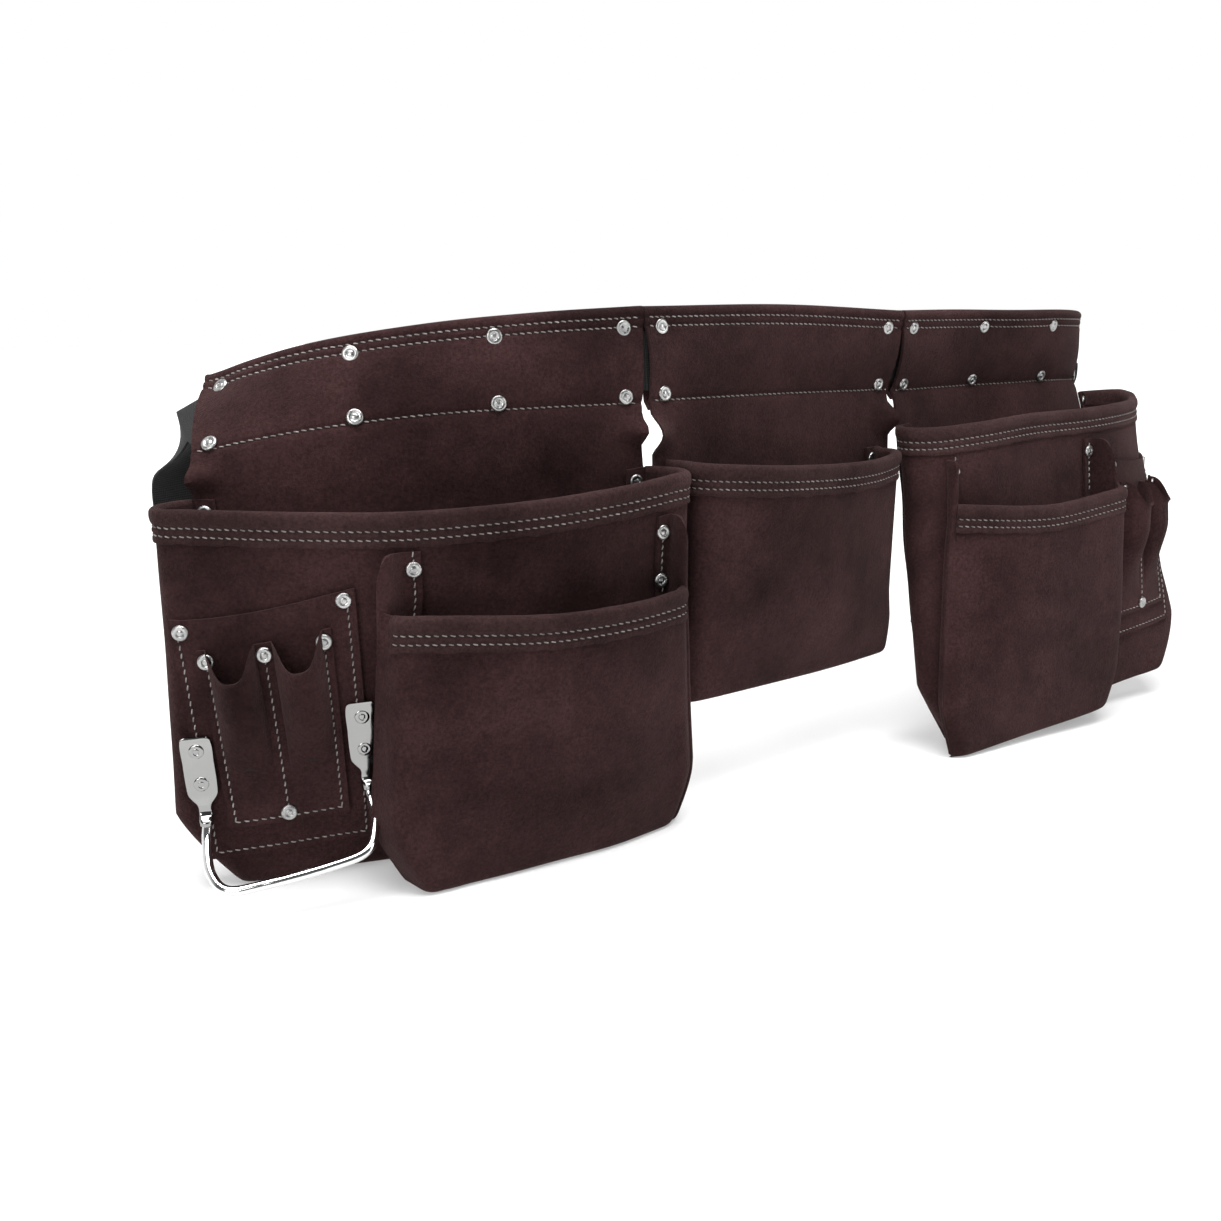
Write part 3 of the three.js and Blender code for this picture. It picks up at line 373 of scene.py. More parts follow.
suede = suede_material("brown_suede", (0.015, 0.0069, 0.0071), (0.041, 0.0196, 0.02), 0.9)
# The hems' suede is a lighter copy of the same suede: painted highlight on the rolled rims.
lit_hem_suede = suede_material("lit_hem_suede", (0.018, 0.0091, 0.0091), (0.042, 0.0228, 0.0225), 1.1)


def edges(shape, h):
    """The side edges of a pouch or panel at height h, flared and chamfered to its foot."""
    low = np.clip(1 - (h - shape["foot"]) / (shape["height"] - shape["foot"]), 0, 1)
    cut = [c[0] * np.clip(1 - (h - shape["foot"]) / c[1], 0, 1) ** 1.3 for c in shape["chamfer"]]
    inner = shape["from"] + cut[0] - shape["flare"][0] * low
    outer = shape["to"] - cut[1] + shape["flare"][1] * low
    return inner, outer


def outline(unit):
    """The outline that a unit's big pouch and the panel under it share."""
    if unit.name == "centre":
        shape = {"foot": CENTRE_FOOT, "height": CENTRE_RIM, "flare": (1, 1), "chamfer": ((8, 30), (8, 30))}
    else:
        shape = {"foot": 0, "height": BIG_RIM, "flare": (0.5, 11), "chamfer": ((24, 50), (24, 50))}
    shape.update({"from": 0, "to": unit.width})
    return shape


def panel_ends(unit, h):
    inner, outer = edges(outline(unit), h)
    reach = SLEEVE_SPREAD * (h - WAIST) / SLEEVE_HEIGHT
    sleeve = h >= WAIST
    return np.where(sleeve, -reach, inner), np.where(sleeve, unit.width + reach, outer)


def over_rim(unit):
    return outline(unit)["height"] * RIMS[unit.name]["big"].max() + 3


def side_fold(unit, u, h):
    """The panel's side edges fold forward between the pouch's rim and the seam."""
    low = over_rim(unit)
    share = np.clip((h - low) / (SEAM_FOOT - low), 0, 1)
    room = min((SEAM_FOOT - low) / SIDE_FOLD_WIDTH, 1)
    near = np.clip(1 - np.minimum(u, unit.width - u) / SIDE_FOLD_WIDTH, 0, 1)
    return SIDE_FOLD * room * np.sin(math.pi * share) ** 1.4 * near ** 1.3


def rivet_columns(unit):
    spans = 1 if unit.name == "centre" else 3
    return np.linspace(RIVET_END_INSET, unit.width - RIVET_END_INSET, spans + 1)


def sleeve_relief(unit, u, h):
    """The sleeve puffs between its stitch rows, and is pressed in along them and round each rivet."""
    tall = np.clip((h - WAIST) / (UPPER_RIVETS - WAIST), 0, 1)
    lift = SLEEVE_PUFF * np.sin(math.pi * tall) - SEAM_PRESS * np.exp(-((h - WAIST) / 1.9) ** 2)
    for inset in TOP_ROWS:
        lift = lift - ROW_PRESS * np.exp(-((h - PANEL_HEIGHT + inset) / 1.2) ** 2)
    for middle in rivet_columns(unit):
        for height in (UPPER_RIVETS, LOWER_RIVETS):
            away = (u - middle) ** 2 + (h - height) ** 2
            lift = lift - RIVET_PRESS * np.exp(-away / RIVET_PRESS_AREA)
    return lift


def hide_path(unit):
    """The fold of the hide from its foot up the front, over the top and down behind to the seam."""
    foot = outline(unit)["foot"]
    middle = -SLEEVE_DEPTH / 2
    crown = PANEL_HEIGHT - SLEEVE_DEPTH / 2
    levels = [np.linspace(foot, crown, 80)]
    levels += [PANEL_HEIGHT - inset + np.linspace(-2.4, 2.4, 9) for inset in (*TOP_ROWS, SLEEVE_HEIGHT)]
    levels = np.unique(np.concatenate(levels).round(2))
    levels = levels[levels <= crown]
    front = np.stack([np.full(len(levels), -LEATHER / 2), levels], -1)
    angle = np.linspace(0, math.pi, 12)[1:-1]
    radius = SLEEVE_DEPTH / 2 - LEATHER / 2
    over = np.stack([middle + radius * np.cos(angle), crown + radius * np.sin(angle)], -1)
    down = np.linspace(crown, WAIST - SEAM_BAND / 2, 24)
    press = np.clip((LOWER_RIVETS - 4 - down) / (LOWER_RIVETS - 4 - down[-1]), 0, 1)
    behind = mix(-SLEEVE_DEPTH + LEATHER / 2, -1.55 * LEATHER, press)
    return np.concatenate([front, over, np.stack([behind, down], -1)])


def back_panel(unit):
    path = hide_path(unit)
    along = unit_length(np.gradient(path, axis=0))
    normal = np.stack([along[:, 1], -along[:, 0]], -1)
    shares = np.linspace(0, 1, 110)
    faces = []
    for push in (LEATHER / 2, -LEATHER / 2):
        out, up = (path + normal * push).T
        inner, outer = panel_ends(unit, path[:, 1])
        wave = 0.5 * np.sin(path[:, 1] / 9)
        u = mix((inner + wave)[:, None], (outer + wave)[:, None], shares)
        h = np.broadcast_to(up[:, None], u.shape)
        forward = (path[:, 0] > -LEATHER)[:, None]
        lift = np.where(forward, side_fold(unit, u, h) + sleeve_relief(unit, u, h) * (h > SEAM_FOOT), 0)
        faces.append(unit.at(u, out[:, None] + lift, h))
    return sheet_part(*faces)


for unit in units.values():
    node = f"{unit.name}_back_panel"
    build(f"{node}_suede", [back_panel(unit)], [suede], [node])

# Sewing. Every seam is lock-stitched in a waxed grey-beige thread, about six stitches to the inch, in
# one row round the patches and two along the sleeve tops and the pouch hems.
STITCH_PITCH = 4.4
STITCH_LENGTH = 3.2
STITCH_SLANT = 0.7
THREAD = 0.85
THREAD_SEAT = 0.1
HOLE_FLATNESS = 0.35


def thread_material():
    material, tree, shader = new_material("waxed_thread", (0.2, 0.175, 0.165), 0.6)
    stops = (0.35, (0.12, 0.1, 0.095)), (0.7, (0.29, 0.26, 0.245))
    drive(tree, shader, "Base Color", noise(tree, 300, 2), *stops)
    bump(tree, shader, (noise(tree, 1800, 2), 0.2))
    return material


thread = thread_material()
# Near black for the needle holes and the slits: painted shade inside the openings.
needle_hole_shade = new_material("needle_hole_shade", (0.004, 0.003, 0.003), 0.95)[0]
leather_looks = [suede, thread, lit_hem_suede, needle_hole_shade]
THREAD_LOOK, HEM_LOOK, HOLE_SHADE_LOOK = 1, 2, 3
# One stitch, and one dark bead that paints the shade in a needle hole: offset along the row, girth
# across, height of the middle and sink.
STITCH = ((-0.5, 0.3, -0.5), (-0.36, 0.9, 0.05), (0, 1, 0.25), (0.36, 0.9, 0.05), (0.5, 0.3, -0.5))
HOLE = ((-0.22, 0.3, -0.12), (-0.12, 1.25, 0.0), (0.12, 1.25, 0.0), (0.22, 0.3, -0.12))


def beads(place, middles, run, t, shape, flat, slant, slot):
    """Small bodies set out along a row, each through the rings of its shape."""
    rings = []
    angles = np.arange(6) * math.pi / 3
    for offset, girth, lift in shape:
        share = np.interp(np.clip(middles + offset * STITCH_LENGTH, 0, run[-1]), run, t)
        middle = place(share, lift)
        normal = unit_length(place(share, lift + 1) - middle)
        before, after = (place(np.clip(share + step, 0, 1), lift) for step in (-0.002, 0.002))
        side = np.cross(unit_length(after - before), normal)
        middle = middle + side * offset * slant
        radius = THREAD / 2 * girth
        ring = [middle + side * radius * math.cos(a) + normal * radius * flat * math.sin(a) for a in angles]
        rings.append(np.stack(ring, 1))
    parts = [tube_part(row, slot) for row in np.stack(rings, 1)]
    points = np.concatenate([part[0] for part in parts])
    size = len(parts[0][0])
    faces = [tuple(i + n * size for i in face) for n, part in enumerate(parts) for face in part[1]]
    return points, faces, slot


def stitches(place):
    """A row of stitches along place(t, lift), which gives points at shares t, lifted off the hide."""
    t = np.linspace(0, 1, 600)
    run = run_along(place(t, 0.0))
    count = max(int(run[-1] // STITCH_PITCH), 1)
    middles = (np.arange(count) + 0.5) * run[-1] / count
    ends = (np.arange(count + 1)) * run[-1] / count
    return [
        beads(place, middles, run, t, STITCH, 1, STITCH_SLANT, THREAD_LOOK),
        # Dark beads at the needle holes: painted shade in the holes.
        beads(place, ends, run, t, HOLE, HOLE_FLATNESS, 0, HOLE_SHADE_LOOK),
    ]


def sleeve_row(unit, inset_from_top):
    height = PANEL_HEIGHT - inset_from_top

    def place(t, lift):
        h = np.full_like(t, height)
        inner, outer = panel_ends(unit, h)
        u = mix(inner + 3, outer - 3, t)
        return unit.at(u, sleeve_relief(unit, u, h) + 0.2 + lift, h)

    return stitches(place)


for unit in units.values():
    rows = [part for inset in (*TOP_ROWS, SLEEVE_HEIGHT) for part in sleeve_row(unit, inset)]
    build(f"{unit.name}_sleeve_stitches", rows, leather_looks)

# Pouches. Each is one hide wall, gusseted and sewn to what is behind it through a flange at either
# side, with a rim that stands open. The big ones lie on the back panels; a small pocket lies on the
# face of each big side pouch, and its gussets run up to that pouch's hem.
CORNER_RADIUS = 14
FLANGE = 13
BIG_DEPTH = 50
BIG_FOOT_DEPTH = 15
CENTRE_INSET = 7
SMALL_RIM = 170
SMALL_DEPTH = 26
SMALL_START = 5
POCKET_END = SMALL_START + 160
SMALL_WIDTH = POCKET_END - SMALL_START
SMALL_SPLAY = {"left": (20, 6), "right": (10, 0)}
SMALL_FLANGE = 11
RIDGE_DEPTH = 8
RIDGE_CLEARANCE = 3
FOOT_ROUND = 6
# The corner's way in from the side as a share of its radius, and out as a share of the depth.
CORNER = ((0.05, 0.4), (0, 0.72), (0.3, 0.93), (1.1, 1))
FRONT_STOPS = 12
OVERHANGS = {"left": (13, 11), "centre": (-7, -7), "right": (11.7, 6.05)}
BIG_DEPTHS = {
    "left": table("at rim foot", (-0.05, 0.74, 0.9), (0.15, 0.98, 0.95), (0.4, 1.05, 0.9),
                  (0.75, 0.9, 0.95), (1.04, 0.7, 1.1)),
    "right": table("at rim foot", (-0.05, 0.45, 0.95), (0.15, 0.95, 1), (0.45, 1.05, 1),
                   (0.8, 1, 1.2), (1.04, 0.66, 1.8)),
    "centre": table("at rim foot", (0, 0.5, 0.8), (0.3, 0.9, 1), (0.7, 0.85, 0.9), (1, 0.4, 0.6)),
}
SMALL_DEPTHS = {
    "left": table("at rim foot", (0, 0.8, 0.85), (0.5, 1.05, 1.5), (1, 0.6, 1.9)),
    "right": table("at rim foot", (0, 0.45, 0.5), (0.5, 1, 0.65), (1, 1.2, 0.8)),
}


def big_rim(unit, u):
    return outline(unit)["height"] * column(RIMS[unit.name], "big", np.clip(u / unit.width, 0, 1))


def big_depth(unit, u, h):
    foot = outline(unit)["foot"]
    rows = BIG_DEPTHS[unit.name]
    at = np.clip(u / unit.width, rows["at"][0], rows["at"][-1])
    rise = np.clip((h - foot) / (big_rim(unit, u) - foot), 0, 1.1)
    return mix(column(rows, "foot", at) * BIG_FOOT_DEPTH, column(rows, "rim", at) * BIG_DEPTH, rise ** 0.8)


def pouch_face(unit, u, h):
    return FACE_GAP + big_depth(unit, u, h) + LEATHER


def big_pouch(unit):
    shape = outline(unit)
    centre = unit.name == "centre"
    shape["from"] = CENTRE_INSET if centre else 0
    shape["to"] = unit.width - (2 * CENTRE_INSET if centre else 0)
    shape["base"] = lambda u, h: np.full_like(h, FACE_GAP)
    shape["depth"] = lambda u, h: big_depth(unit, u, h)
    shape["rim"] = lambda u: big_rim(unit, u)
    shape["overhang"] = OVERHANGS[unit.name]
    shape["flange"] = FLANGE
    return shape


def small_pocket(unit):
    rows = SMALL_DEPTHS[unit.name]

    def depth(u, h):
        at = np.clip((u - SMALL_START) / SMALL_WIDTH, 0, 1)
        share = np.clip(h / SMALL_RIM, 0, 1)
        return SMALL_DEPTH * mix(column(rows, "foot", at), column(rows, "rim", at), share)

    outer_flare, outer_overhang = SMALL_SPLAY[unit.name]
    return {
        "foot": 0, "height": SMALL_RIM, "from": SMALL_START, "to": POCKET_END,
        "flare": (17, outer_flare), "chamfer": ((14, 40), (14, 36)),
        "base": lambda u, h: pouch_face(unit, u, h) + FACE_GAP,
        "depth": depth,
        "rim": lambda u: SMALL_RIM * column(RIMS[unit.name], "small", np.clip(u / unit.width, 0, 1)),
        "overhang": (0, outer_overhang), "flange": SMALL_FLANGE,
        "ridge": lambda u: big_rim(unit, u) * (1 - HEM_HEIGHT / BIG_RIM) - RIDGE_CLEARANCE,
    }


def wall_stops(shape, share):
    """The wall's plan at a share of its height: u, out and h of each stop along it."""
    foot = shape["foot"]
    level = foot + (shape["height"] - foot) * share
    ridge = shape.get("ridge")
    stops = []

    def add(edge_of, deep):
        def where(h):
            return edge_of(*edges(shape, h), np.clip((h - foot) / 50, 0, 1))
        u = where(level)
        top = ridge(u) if ridge and deep < 0.5 else shape["rim"](u)
        h = foot + (top - foot) * share
        u = where(h)
        full = shape["depth"](u, h) * deep
        if ridge and 0 < deep < 0.5:
            full = mix(full, RIDGE_DEPTH, share ** 3)
        rounding = np.clip(1 - (h - foot) / FOOT_ROUND, 0, 1)
        full = full - deep * FOOT_ROUND * (1 - np.sqrt(1 - rounding ** 2)) * 0.8
        stops.append(np.stack([u, shape["base"](u, h) + full + LEATHER / 2, h], -1))

    left, right = shape["overhang"]
    add(lambda a, b, hang: a + shape["flange"], 0)
    add(lambda a, b, hang: a + LEATHER, 0)
    for reach, deep in CORNER:
        add(lambda a, b, hang, r=reach: a - left * hang + r * CORNER_RADIUS, deep)
    inset = CORNER[-1][0] * CORNER_RADIUS
    for i in range(1, FRONT_STOPS):
        share_along = i / FRONT_STOPS
        add(lambda a, b, hang, t=share_along: mix(a - left * hang + inset, b + right * hang - inset, t), 1)
    for reach, deep in CORNER[::-1]:
        add(lambda a, b, hang, r=reach: b + right * hang - r * CORNER_RADIUS, deep)
    add(lambda a, b, hang: b - LEATHER, 0)
    add(lambda a, b, hang: b - shape["flange"], 0)
    return np.stack(stops)


def smooth_through(points, knots, where):
    """A smooth curve through points set out along knots, read at `where`."""
    gaps = np.diff(knots)[:, None, None]
    slopes = np.diff(points, axis=0) / gaps
    inside = (gaps[1:] * slopes[:-1] + gaps[:-1] * slopes[1:]) / (knots[2:] - knots[:-2])[:, None, None]
    tangents = np.concatenate([slopes[:1], inside, slopes[-1:]])
    i = np.clip(np.searchsorted(knots, where, "right") - 1, 0, len(knots) - 2)
    t = (where - knots[i])[:, None, None] / gaps[i]
    return eased(t, gaps[i], points[i], points[i + 1], tangents[i], tangents[i + 1])


def wall_plan(shape, shares, columns):
    """The middle of the wall's leather and its outward direction in plan, as grids."""
    stops = wall_stops(shape, shares)
    knots = run_along(stops[:, -1])
    where = np.linspace(0, knots[-1], columns)
    plan = smooth_through(stops, knots, where).transpose(1, 0, 2)
    along = np.gradient(plan[..., :2], axis=1)
    along = along / np.maximum(np.linalg.norm(along, axis=-1, keepdims=True), 1e-6)
    return plan, np.stack([-along[..., 1], along[..., 0]], -1), where, knots


def pushed(unit, plan, normal, push):
    """Points of a wall moved `push` outwards in plan."""
    flat = plan[..., :2] + normal * np.asarray(push)[..., None]
    return unit.at(flat[..., 0], flat[..., 1], plan[..., 2])


def pouch(unit, shape):
    shares = np.concatenate([np.linspace(0, 0.03, 6), np.linspace(0.03, 1, 60)[1:]])
    plan, normal, where, knots = wall_plan(shape, shares, 200)
    wall = sheet_part(pushed(unit, plan, normal, LEATHER / 2), pushed(unit, plan, normal, -LEATHER / 2))
    inside = (where > knots[4]) & (where < knots[-5])
    u, front, h = plan[0][inside].T
    out = mix(shape["base"](u, h) + 0.2, front, np.linspace(1, 0, 8)[:, None])
    floor_sheet = sheet_part(unit.at(u, out, h + LEATHER), unit.at(u, out, h + 0.2))
    return [wall, floor_sheet]


# Hems. A strip of the same suede is folded over each rim and sewn down with two rows, so that the
# rim is a soft roll about three hides thick. It is drawn in a lighter copy of the suede, a painted
# highlight for the light that the rolled rims catch.
ROLL = 3.4
HEM_ROWS = (10.2, 15.2)
HEM_FACE = 1.75
# A flange's row runs from this far under the pocket's rim to this far above it.
FLANGE_ROW = (6, 34)
FLANGE_MIDDLE = 7.0
# The hem's section: how far out of the wall's middle, and how far below the rim.
HEM_INNER = ((-1.2, 13), (-2.3, 12.2), (-2.9, 9), (-3.3, 5.5))
HEM_OUTER = (
    (3.5, 5.2), (3.2, 7.2), (2.5, 8.8), (1.8, 9.7), (1.6, 10.2), (1.8, 10.7), (2.5, 11.8), (2.6, 13.2),
    (1.9, 14.6), (1.65, 15.2), (1.9, 15.8), (2.5, 16.8), (2.6, 18.6), (2.3, 19.7), (0.9, 20))


def hem_line(shape, columns):
    """The rim's line, its outward direction, and the wall's line well below it."""
    plan, normal, where, knots = wall_plan(shape, np.linspace(0.6, 1, 9), columns)
    first, last = (3, -4) if "ridge" in shape else (1, -2)
    keep = (where > knots[first] + 1.5) & (where < knots[last] - 1.5)
    return plan[-1][keep], normal[-1][keep], plan[0][keep]


def hem_points(unit, line, normal, below, push, drop):
    """Points of the hem at each drop under the rim, following the wall's lean."""
    slope = (line - below) / np.maximum(line[:, 2:] - below[:, 2:], 1)
    drop = np.asarray(drop, float)[..., None]
    push = np.asarray(push, float)[..., None]
    u, out = (line[:, k] - slope[:, k] * drop + normal[:, k] * push for k in (0, 1))
    return unit.at(u, out, line[:, 2] - drop)


def hem(unit, shape):
    line, normal, below = hem_line(shape, 300)
    angle = np.linspace(math.pi, 0, 11)
    crown = [(ROLL * math.cos(a), ROLL * (1 - math.sin(a)) - 0.6) for a in angle]
    pushes, drops = np.array([*HEM_INNER, *crown, *HEM_OUTER]).T
    grid = hem_points(unit, line, normal, below, pushes, drops)
    lump = 0.28 * np.sin(line[:, 0] / 7.3) + 0.22 * np.sin(line[:, 0] / 3.1 + 1)
    away = hem_points(unit, line, normal, below, pushes + np.sign(pushes), drops) - grid
    on_roll = np.clip(1 - drops / 9, 0, 1)
    grid = grid + away * (lump[None, :] * on_roll[:, None])[..., None]
    ragged = 0.35 * np.sin(line[:, 0] / 4.4) + 0.3 * np.sin(line[:, 0] / 2.1 + 2)
    grid[-2:, :, 2] -= ragged
    parts = [tube_part(grid.transpose(1, 0, 2), HEM_LOOK)]
    for drop in HEM_ROWS:
        def place(t, lift, drop=drop):
            index = mix(1, len(line) - 2.001, t)
            low = np.floor(index).astype(int)
            part = (index - low)[:, None]
            here = (mix(row[low], row[low + 1], part) for row in (line, normal, below))
            return hem_points(unit, *here, HEM_FACE + lift, drop)
        parts += stitches(place)
    return parts


def flange_stitches(unit, shape):
    """The row that sews each flange of a small pocket down, where it shows above the pocket's rim."""
    parts = []
    for end in (0, 1):
        def place(t, lift, end=end):
            low = shape["rim"](np.array(float(shape["to"] if end else shape["from"])))
            h = mix(low - FLANGE_ROW[0], low + FLANGE_ROW[1], t)
            edge = edges(shape, h)[end]
            u = edge - FLANGE_MIDDLE if end else edge + FLANGE_MIDDLE
            return unit.at(u, shape["base"](u, h) + LEATHER + THREAD_SEAT + lift, h)
        parts += stitches(place)
    return parts


def pouch_piece(unit, shape, node):
    parts = pouch(unit, shape) + hem(unit, shape)
    if "ridge" in shape:
        parts += flange_stitches(unit, shape)
    return build(f"{node}_suede", parts, leather_looks, [node])


for unit in units.values():
    node = "centre_pouch" if unit.name == "centre" else f"{unit.name}_big_pouch"
    pouch_piece(unit, big_pouch(unit), node)
for name in ("left", "right"):
    pouch_piece(units[name], small_pocket(units[name]), f"{name}_small_pocket")

# Tool panels. A patch of suede is sewn round its sides and foot to the outer half of each side
# pouch's face and riveted at its upper corners. A narrower piece on it arches into two slots for
# pencils and drivers, sewn at both sides, between the slots and along the foot.
TOOL_PANEL_WIDTH = 96
TOOL_PANEL_HEIGHT = 156
PANEL_FOOT_WIDTH = 0.94
PANEL_ROW_INSET = 4
TUBES = 2
TUBE_BULGE = 15
TUBE_FOOT = 0.12
TUBE_FULL = 0.75
SEAMS = (0.06, 0.5, 0.94)
SEAM_SHARE = 0.4
EAR_RISE = 0.02
MOUTH_DIP = 0.115
LIP_FLARE = 2.2
SLIT_RISE = 0.34
SLIT_REACH = 0.07
SLIT_OPEN = 0.55
# Each panel's foot as a share of its height, its distance from the small pocket, and its skew.
PANEL_CORNERS = {
    "left": {"foot": 0.145, "beside": 22, "skew": -0.005},
    "right": {"foot": 0.3, "beside": 14.52, "skew": -0.02},
}
PANEL_TOP = table("at dip", (0, 0), (0.35, 0.035), (0.7, 0.05), (1, 0.045))
SLOTS = {"inner": 0.14, "outer": 0.86, "foot": 0.13, "top": 0.86}


def panel_point(unit, across, up):
    corners = PANEL_CORNERS[unit.name]
    top = up * (1 - column(PANEL_TOP, "dip", across))
    lean = corners["skew"] * unit.width * (1 - up)
    middle = POCKET_END + corners["beside"] + TOOL_PANEL_WIDTH / 2 + lean
    u = middle + (across - 0.5) * TOOL_PANEL_WIDTH * mix(PANEL_FOOT_WIDTH, 1, up)
    return u, (corners["foot"] + top) * TOOL_PANEL_HEIGHT


def panel_seat(unit, across, up):
    u, h = panel_point(unit, across, up)
    return u, pouch_face(unit, u, h) + FACE_GAP, h


def panel_row(unit, start, end, height):
    """Stitches on a panel between two points, given across and up it, at a height off the panel."""
    def place(t, lift):
        across, up = (mix(start[k], end[k], t) for k in (0, 1))
        u, seat, h = panel_seat(unit, across, up)
        return unit.at(u, seat + height + lift, h)
    return stitches(place)


def tool_panel(unit):
    up, across = np.meshgrid(np.linspace(0, 1, 60), np.linspace(0, 1, 40), indexing="ij")
    u, seat, h = panel_seat(unit, across, up)
    parts = [sheet_part(unit.at(u, seat + LEATHER, h), unit.at(u, seat, h))]
    side = PANEL_ROW_INSET / TOOL_PANEL_WIDTH
    low = PANEL_ROW_INSET / TOOL_PANEL_HEIGHT
    far = 1 - side
    for row in (((side, low), (side, 0.97)), ((far, low), (far, 0.97)), ((side, low), (far, low))):
        parts += panel_row(unit, *row, LEATHER + THREAD_SEAT)
    return parts


def slots_across(share):
    """The place across the panel of a share of the slots' own width."""
    return mix(SLOTS["inner"], SLOTS["outer"], share)


def tube_rise(across_share, up_share):
    """How far the slots' sheet stands off the panel, at shares of its own width and height."""
    wave = np.abs(np.sin(math.pi * TUBES * across_share))
    arch = np.clip((wave - SEAM_SHARE) / (1 - SEAM_SHARE), 0, 1)
    rise = np.clip((up_share - TUBE_FOOT) / (TUBE_FULL - TUBE_FOOT), 0, 1)
    return arch, TUBE_BULGE * arch ** 0.6 * rise * rise * (3 - 2 * rise)


def tool_slots(unit):
    up, across = np.meshgrid(np.linspace(0, 1, 64), np.linspace(0, 1, 161), indexing="ij")
    arch, bulge = tube_rise(across, up)
    dip = arch * arch * (3 - 2 * arch)
    mouth = SLOTS["top"] + EAR_RISE - up ** 2 * dip * MOUTH_DIP
    u, seat, h = panel_seat(unit, slots_across(across), mix(SLOTS["foot"], mouth, up))
    lip = LIP_FLARE * np.clip((up - 0.93) / 0.07, 0, 1) ** 2 * (0.25 + 0.75 * arch)
    out = seat + FACE_GAP + LEATHER + bulge + lip
    parts = [sheet_part(unit.at(u, out + LEATHER, h), unit.at(u, out, h))]
    height = 2 * LEATHER + FACE_GAP + THREAD_SEAT
    for share in SEAMS:
        across = slots_across(share)
        parts += panel_row(unit, (across, SLOTS["foot"] + 0.02), (across, 0.82), height)
    foot = SLOTS["foot"] + 0.025
    parts += panel_row(unit, (SLOTS["inner"] + 0.03, foot), (SLOTS["outer"] - 0.03, foot), height)
    # Two short slits in the slots, drawn as thin dark bodies: painted shade inside the slit openings.
    for share in (0.25, 0.75):
        def slit(t, lift, share=share):
            own = SLIT_RISE + 0.012 * np.sin(math.pi * t)
            width = mix(-SLIT_REACH, SLIT_REACH, t)
            rise = tube_rise(share + width, own)[1]
            place_up = mix(SLOTS["foot"], SLOTS["top"], own)
            u, seat, h = panel_seat(unit, slots_across(share + width), place_up)
            return unit.at(u, seat + FACE_GAP + 2 * LEATHER + rise + lift, h)
        t = np.linspace(0, 1, 15)
        middle = slit(t, 0.0)
        proud = slit(t, 0.25) - middle
        rise = np.array([0, 0, SLIT_OPEN]) * np.sin(math.pi * np.clip(t, 0.02, 0.98))[:, None]
        ring = [middle - rise, middle + proud, middle + rise, middle - proud]
        parts.append(tube_part(np.stack(ring, 1), HOLE_SHADE_LOOK))
    return parts


for name in ("left", "right"):
    build(f"{name}_tool_panel_suede", tool_panel(units[name]), leather_looks, [f"{name}_tool_panel"])
    build(f"{name}_tool_slots_suede", tool_slots(units[name]), leather_looks, [f"{name}_tool_slots"])

# Rivets. Nickel-plated caps, set flush: one pair of rows on each sleeve, and single ones wherever a
# pouch, pocket, panel or slot is fixed at its top.
CAP_RADIUS = 5
SMALL_CAP_RADIUS = 4.6
PLATE_CAP_RADIUS = 4.2
# Each turned form's section: the ring's radius as a share of its own, and its height off the seat.
CAP_PROFILE = (
    (0.08, 1.2), (0.3, 1.15), (0.4, 0.85), (0.48, 1.2), (0.72, 1.35), (0.88, 1.15), (0.97, 0.7),
    (1, 0.1), (0.9, -0.6))
FLUSH_PROFILE = (
    (0.08, 0.55), (0.35, 0.55), (0.42, 0.4), (0.5, 0.6), (0.8, 0.55), (0.95, 0.3), (1, 0.02), (0.9, -0.4))
WASHER_PROFILE = (
    (0.3, -SLEEVE_DEPTH - 1.9), (0.8, -SLEEVE_DEPTH - 1.8), (0.85, -SLEEVE_DEPTH - 0.6))
# The rivets on a pouch's flanges: which flange, and how far below its top.
BIG_FLANGE_RIVETS = (("inner", 8), ("outer", 8))
SMALL_FLANGE_RIVETS = (("inner", 10), ("outer", 10), ("inner", 40))


def nickel_material():
    material, tree, shader = new_material("nickel_plate", (0.4, 0.4, 0.39), 0.3, 1)
    tone = (0.35, (0.24,) * 3), (0.65, (0.45, 0.45, 0.44))
    drive(tree, shader, "Base Color", noise(tree, 160, 5, 0.7), *tone)
    worn = (0.35, (0.22,) * 3), (0.7, (0.45,) * 3)
    drive(tree, shader, "Roughness", noise(tree, 400, 4, 0.7), *worn)
    bump(tree, shader, (noise(tree, 250, 3), 0.15))
    return material


nickel = nickel_material()


def lathe(unit, u, out, h, radius, profile):
    """A small turned form whose axis stands square to the hide."""
    u, h = np.array(float(u)), np.array(float(h))
    axis = unit.outward(u, h)
    seat = unit.at(u, out, h)
    side = unit_length(np.cross(axis, (0, 0, 1)))
    other = np.cross(axis, side)
    angle = np.linspace(0, 2 * math.pi, 28, endpoint=False)[:, None]
    ring = np.cos(angle) * side + np.sin(angle) * other
    return tube_part(np.stack([seat + axis * lift + radius * share * ring for share, lift in profile]))


def sleeve_rivets(unit):
    parts = []
    for u in rivet_columns(unit):
        for h in (UPPER_RIVETS, LOWER_RIVETS):
            seat = float(sleeve_relief(unit, np.array(float(u)), np.array(float(h)))) + 0.4
            parts.append(lathe(unit, u, seat, h, CAP_RADIUS, CAP_PROFILE))
            parts.append(lathe(unit, u, 0, h, CAP_RADIUS, WASHER_PROFILE))
    return parts


for unit in units.values():
    count = 2 * len(rivet_columns(unit))
    nodes = [f"{unit.name}_sleeve_rivet_{i + 1}" for i in range(count)]
    build(f"{unit.name}_sleeve_rivets", sleeve_rivets(unit), [nickel], nodes, 60)


def flange_rivets(unit, shape, spots):
    parts = []
    for end, drop in spots:
        u = np.array(shape["from"] + FLANGE_MIDDLE if end == "inner" else shape["to"] - FLANGE_MIDDLE)
        h = shape.get("ridge", shape["rim"])(u) - drop
        seat = float(shape["base"](u, h)) + LEATHER
        parts.append(lathe(unit, u, seat, h, SMALL_CAP_RADIUS, CAP_PROFILE))
    return parts


